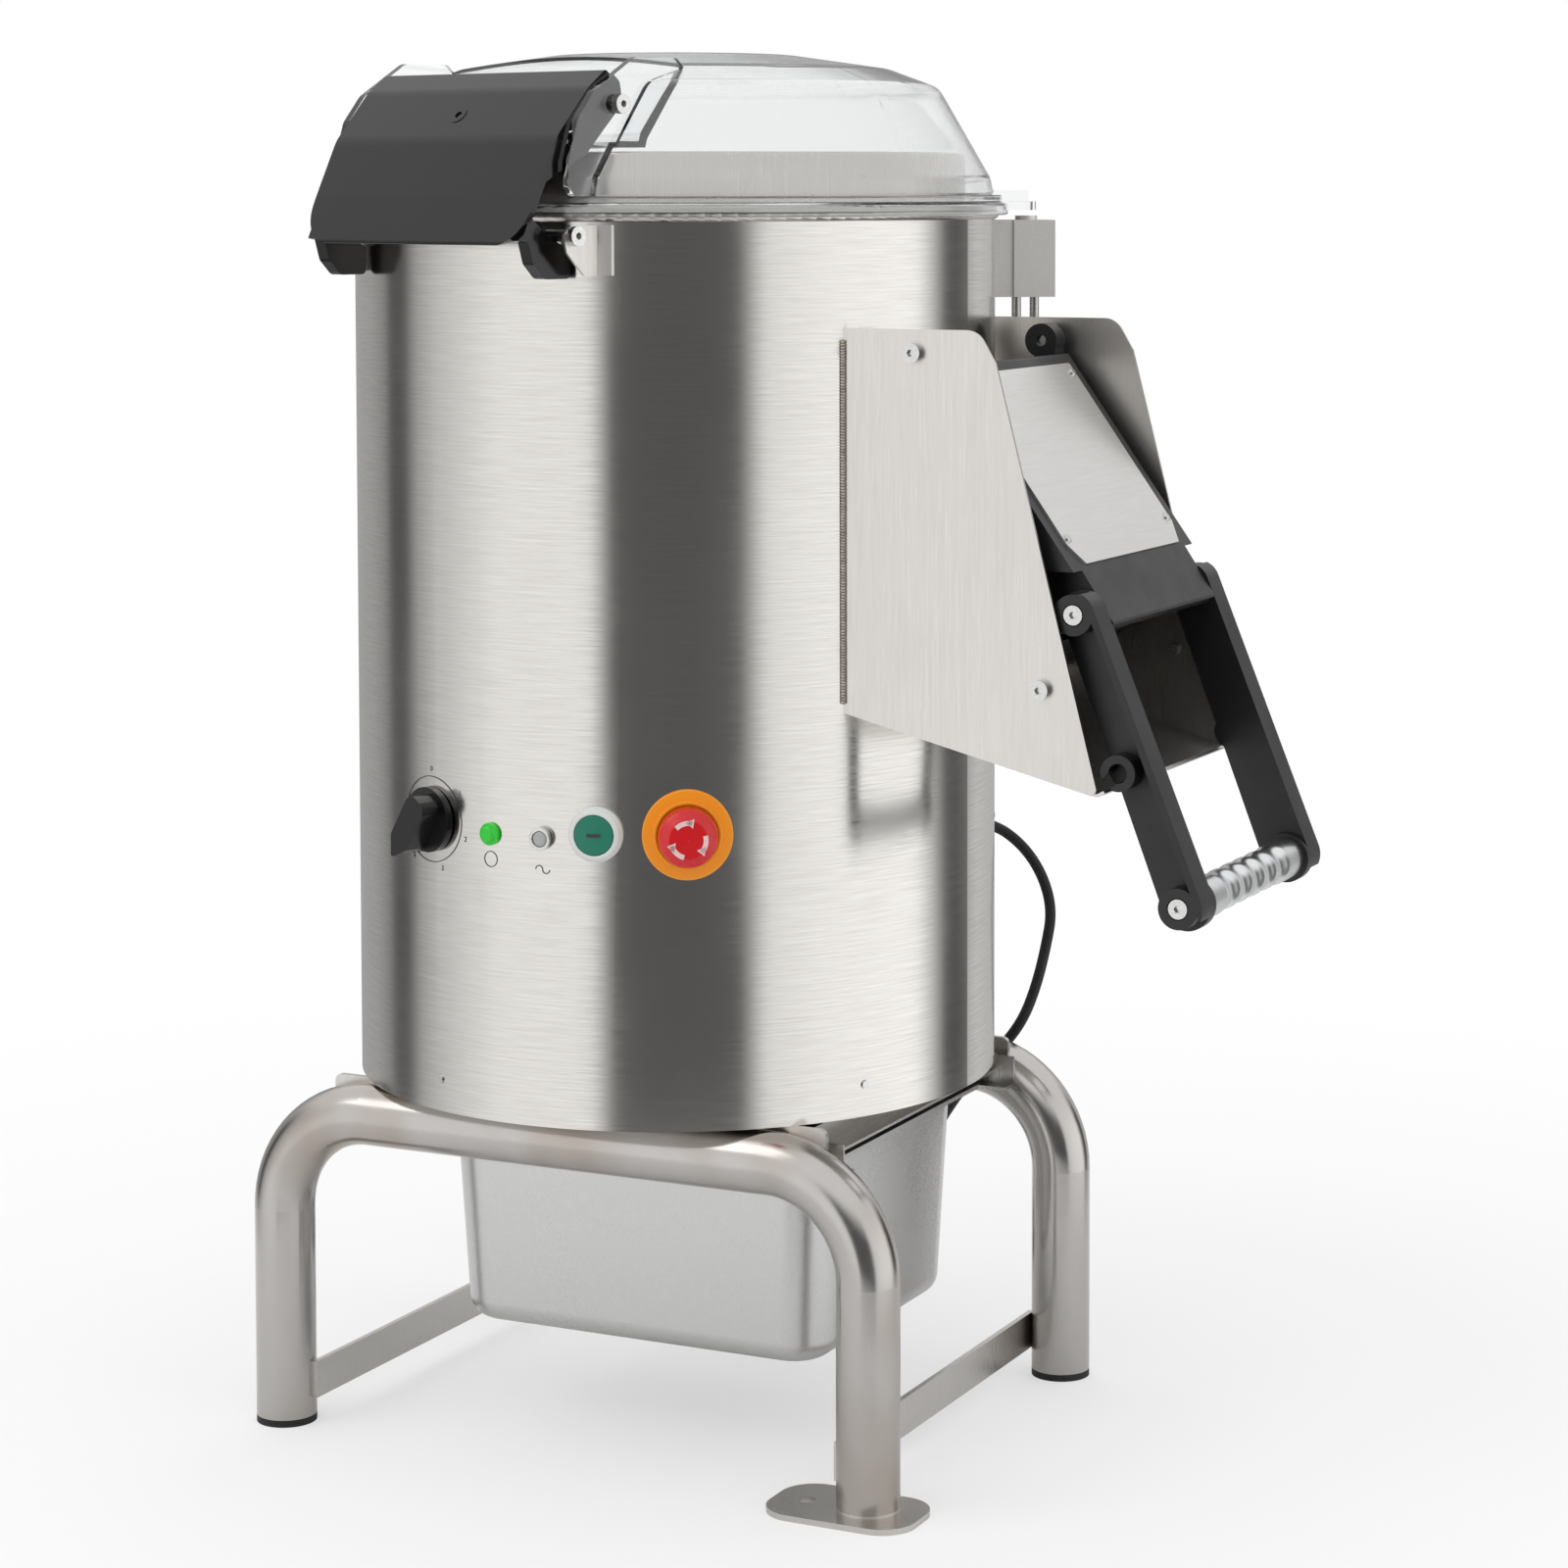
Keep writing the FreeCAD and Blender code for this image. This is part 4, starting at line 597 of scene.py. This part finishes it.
screw_head_r = 5.2
screw_head_h = 2.6
rivet_r = 3.0
rivet_h = 1.0
rivet_z = 270.5
screws = []
for azimuth_deg, z in ((-17.0, 750.0), (14.1, 750.6)):
    screw = cross_screw(screw_head_r, screw_head_h)
    screw.location = (0, 0, z * MM)
    screws.append(at_azimuth(screw, azimuth_deg))
for azimuth_deg in (-17.3, 61.6):
    rivet = rod(rivet_r, rivet_h, (0, -226.6, rivet_z), (0, -1, 0), 24)
    screws.append(at_azimuth(rivet, azimuth_deg))
drum_fasteners = finished(joined(screws), "drum_fasteners", bright_fastener, "housing", 50)
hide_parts("drum_screws")
print("screws", len(screws))

# %% [markdown]
# The chute plates are welded to the drum with a fine bead. A bead is a row of overlapping
# ripples, so one flattened sphere is modelled and an Array modifier repeats it up the seam.

# %% Weld beads of the chute
ripple_pitch = 1.9


def weld_bead(name, x, y, z_low, z_high):
    bpy.ops.object.select_all(action="DESELECT")
    # The sphere has a radius of 1 m here, and its scale gives the ripple's real radii
    bpy.ops.mesh.primitive_uv_sphere_add(segments=10, ring_count=6, radius=1.0,
                                         location=(x * MM, y * MM, z_low * MM))
    ripple = bpy.context.active_object
    ripple.scale = (2.3 * MM, 2.3 * MM, 1.5 * MM)
    placed(ripple)
    row = ripple.modifiers.new("row", "ARRAY")
    row.count = int((z_high - z_low) / ripple_pitch)
    row.use_relative_offset = False
    row.use_constant_offset = True
    row.constant_offset_displace = (0, 0, ripple_pitch * MM)
    bpy.ops.object.modifier_apply(modifier=row.name)
    return finished(ripple, name, weld_steel, "housing")


weld_steel = brushed_steel(
    "heat tinted weld bead", "#B9AFA4", "#8F857B", 0.3, 0.45, (300.0, 300.0, 300.0))
bead_y = 122.6
bead_x = math.sqrt(226.0 ** 2 - bead_y ** 2)
for side, word in ((-1, "front"), (1, "rear")):
    weld_bead("chute_weld_" + word, bead_x + 0.2, side * bead_y, 530, 772)
print("weld beads at x", round(bead_x, 1))

# %% [markdown]
# The mains cord leaves through a gland low on the back of the drum, bends down behind it and
# lies in a loose coil on the floor. It is one NURBS curve through the same points as the tube of
# the solids, with the coil's turns added by a loop. NURBS gives a smooth line with no corners.

# %% Cord route
gland_mouth = (124.0, 214.8, 397.0)
cord_points = [
    gland_mouth, (142, 235.5, 391.5), (163, 244, 375.5), (180, 244, 353.5), (190, 239, 327.5),
    (188.5, 230, 301), (185, 221, 274.5), (177, 214.5, 248.5), (160, 215, 226), (139.5, 221, 209),
    (121.5, 230, 189), (104.5, 240, 169), (88.5, 250.5, 148), (73, 262, 127.5), (58.5, 274, 106.5),
    (43, 287, 87), (26.5, 300.5, 68.5), (9.5, 314.5, 51), (-5.5, 331, 34), (-22, 348, 20),
    (-43.5, 364, 9.5), (-68, 378, 4.6),
]
coil_centre = (-116.0, 327.0)
points_per_turn = 12
for step in range(3 * points_per_turn + 2):
    turn_angle = math.radians(70 + 360 / points_per_turn * step)
    turns = step / points_per_turn
    coil_r = 69.0 - 8.0 * min(turns, 2.0) + 7.0 * max(0.0, turns - 2.0)
    coil_z = 4.4 + 8.4 * min(1.0, max(0.0, (turns - 1.75) / 0.25))
    cord_points.append((coil_centre[0] + coil_r * math.cos(turn_angle),
                        coil_centre[1] + coil_r * math.sin(turn_angle), coil_z))
cord_points += [(-150, 390, 12.6), (-174, 387, 11.5), (-198, 378, 12.5), (-222, 364, 16.0), (-246, 350, 17.3),
                (-268, 334, 17.3)]

bpy.ops.object.select_all(action="DESELECT")
bpy.ops.curve.primitive_nurbs_path_add()
mains_cord = bpy.context.active_object
mains_cord.data.splines.clear()
line = mains_cord.data.splines.new("NURBS")
line.points.add(len(cord_points) - 1)
for point, place in zip(line.points, cord_points):
    point.co = (place[0] * MM, place[1] * MM, place[2] * MM, 1.0)
line.order_u = 3
line.use_endpoint_u = True
mains_cord.data.bevel_depth = 4.0 * MM
mains_cord.data.bevel_resolution = 6
mains_cord.data.use_fill_caps = True
mains_cord.name = mains_cord.data.name = "mains_cord"
mains_cord.data.materials.append(black_rubber)
mains_cord.location = (0, 0, 0)
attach(mains_cord, "housing")
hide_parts("power_cord", "cord_coil", "cord_tail")

# %% [markdown]
# Where the cord leaves the gland, a soft sleeve keeps it from kinking. It tapers over 30 mm and has
# grooves that let it bend, so it is a cone with five ring grooves cut in it.

# %% Cord fittings
relief_way = Vector((0.5, 0.866, 0))
relief_length = 30.0
relief_ribs = 5
bpy.ops.object.select_all(action="DESELECT")
bpy.ops.mesh.primitive_cone_add(vertices=40, radius1=7.2 * MM, radius2=4.9 * MM, depth=relief_length * MM,
                                location=(0, 0, relief_length / 2 * MM))
relief = placed(bpy.context.active_object)
for rib in range(relief_ribs):
    groove = rod(9.0, 1.8, (0, 0, 7 + 4.6 * rib), sides=40)
    carve(groove, rod(5.9 - 0.3 * rib, 3.0, (0, 0, 7 + 4.6 * rib), sides=40))
    carve(relief, groove)
relief.location = Vector(gland_mouth) * MM
relief.rotation_euler = relief_way.to_track_quat("Z", "Y").to_euler()
finished(relief, "cord_strain_relief", black_nylon, "housing")
print("cord points", len(cord_points))

# %% [markdown]
# The stage is a plain pale floor and a pale world. Steel shows what it reflects, so the world
# holds two wide soft boxes, left and right of the camera, with the dark room between them.
# Camera and transmitted rays see plain white instead.

# %% Floor and light
bpy.ops.object.select_all(action="DESELECT")
bpy.ops.mesh.primitive_plane_add(size=4.0, location=(0, 0, 0))
floor = bpy.context.active_object
floor.name = "floor"
floor_paper, tree = new_material("white paper floor")
paper = node(tree, "ShaderNodeBsdfDiffuse", {"Color": "#EFEFEF"})
glow = node(tree, "ShaderNodeEmission", {"Color": "#FFFFFF", "Strength": 1.0})
gone = node(tree, "ShaderNodeBsdfTransparent")
where = node(tree, "ShaderNodeTexCoord").outputs["Object"]
reach = node(tree, "ShaderNodeVectorMath", {0: where}, operation="LENGTH")
to_white = between(tree, reach.outputs["Value"], 0.5, 1.0, 0.6, 1.5)
to_gone = between(tree, reach.outputs["Value"], 0.0, 1.0, 0.7, 1.1)
rays = node(tree, "ShaderNodeLightPath")
share = node(tree, "ShaderNodeMath", {0: rays.outputs["Is Camera Ray"], 1: to_white}, operation="MULTIPLY")
seen = node(tree, "ShaderNodeMixShader", {0: share.outputs[0], 1: paper.outputs[0], 2: glow.outputs[0]})
lost = node(tree, "ShaderNodeMath", {0: rays.outputs["Is Glossy Ray"], 1: to_gone}, operation="MULTIPLY")
faded = node(tree, "ShaderNodeMixShader", {0: lost.outputs[0], 1: seen.outputs[0], 2: gone.outputs[0]})
node(tree, "ShaderNodeOutputMaterial", {"Surface": faded.outputs[0]})
floor.data.materials.append(floor_paper)

world = bpy.data.worlds.new("studio")
scene.world = world
world.use_nodes = True
tree = world.node_tree
tree.nodes.clear()
way = node(tree, "ShaderNodeSeparateXYZ", {"Vector": node(tree, "ShaderNodeTexCoord").outputs["Generated"]})
heading = node(tree, "ShaderNodeMath", {0: way.outputs[0], 1: way.outputs[1]}, operation="ARCTAN2")
towards_camera = math.pi - camera_azimuth
turned_way = node(tree, "ShaderNodeMath", {0: heading.outputs[0], 1: -towards_camera}, operation="ADD")
wrapped = node(tree, "ShaderNodeMath", {0: turned_way.outputs[0], 1: math.pi, 2: -math.pi}, operation="WRAP")
share = node(tree, "ShaderNodeMapRange",
             {"Value": wrapped.outputs[0], "From Min": math.pi, "From Max": -math.pi})
bands = node(tree, "ShaderNodeValToRGB", {"Fac": share.outputs[0]})
# Each stop is an angle from the camera's own direction, in degrees, and the brightness there
stops = [(-180, 0.4), (-140, 0.45), (-127, 0.35), (-122, 0.1), (-112, 0.1), (-105, 0.5), (-91, 0.78),
         (-66, 1.15), (-31, 1.18), (-23, 0.12), (22, 0.12), (31, 1.1), (58, 1.3), (94, 1.4),
         (103, 0.75), (111, 0.1), (124, 0.1), (133, 0.75), (150, 0.6), (180, 0.4)]
ramp = bands.color_ramp
ramp.elements[0].position = 0.0
ramp.elements[1].position = 1.0
for angle, value in stops[1:-1]:
    ramp.elements.new((angle + 180) / 360)
for element, (angle, value) in zip(ramp.elements, stops):
    element.color = (value, value, value, 1.0)
overhead = node(tree, "ShaderNodeMapRange", {"Value": way.outputs[2], "From Min": 0.22, "From Max": 0.5})
sky = node(tree, "ShaderNodeMix", data_type="RGBA")
tree.links.new(overhead.outputs[0], sky.inputs[0])
tree.links.new(bands.outputs[0], sky.inputs[6])
sky.inputs[7].default_value = (1.1, 1.1, 1.1, 1.0)
studio = node(tree, "ShaderNodeBackground", {"Color": sky.outputs[2], "Strength": 1.0})
white = node(tree, "ShaderNodeBackground", {"Color": "#FFFFFF", "Strength": 1.0})
rays = node(tree, "ShaderNodeLightPath")
seen_or_through = {0: rays.outputs["Is Camera Ray"], 1: rays.outputs["Is Transmission Ray"]}
plain = node(tree, "ShaderNodeMath", seen_or_through, operation="MAXIMUM")
mixed = node(tree, "ShaderNodeMixShader", {0: plain.outputs[0], 1: studio.outputs[0], 2: white.outputs[0]})
node(tree, "ShaderNodeOutputWorld", {"Surface": mixed.outputs[0]})

key_place = (-1.2, -1.6, 2.6)
key_size = 1.6
key_watts = 12
bpy.ops.object.light_add(type="AREA", location=key_place)
key = bpy.context.active_object
key.data.size = key_size
key.data.energy = key_watts
key.rotation_euler = (Vector((0, 0, 0.5)) - key.location).to_track_quat("-Z", "Y").to_euler()
print("light and floor set")
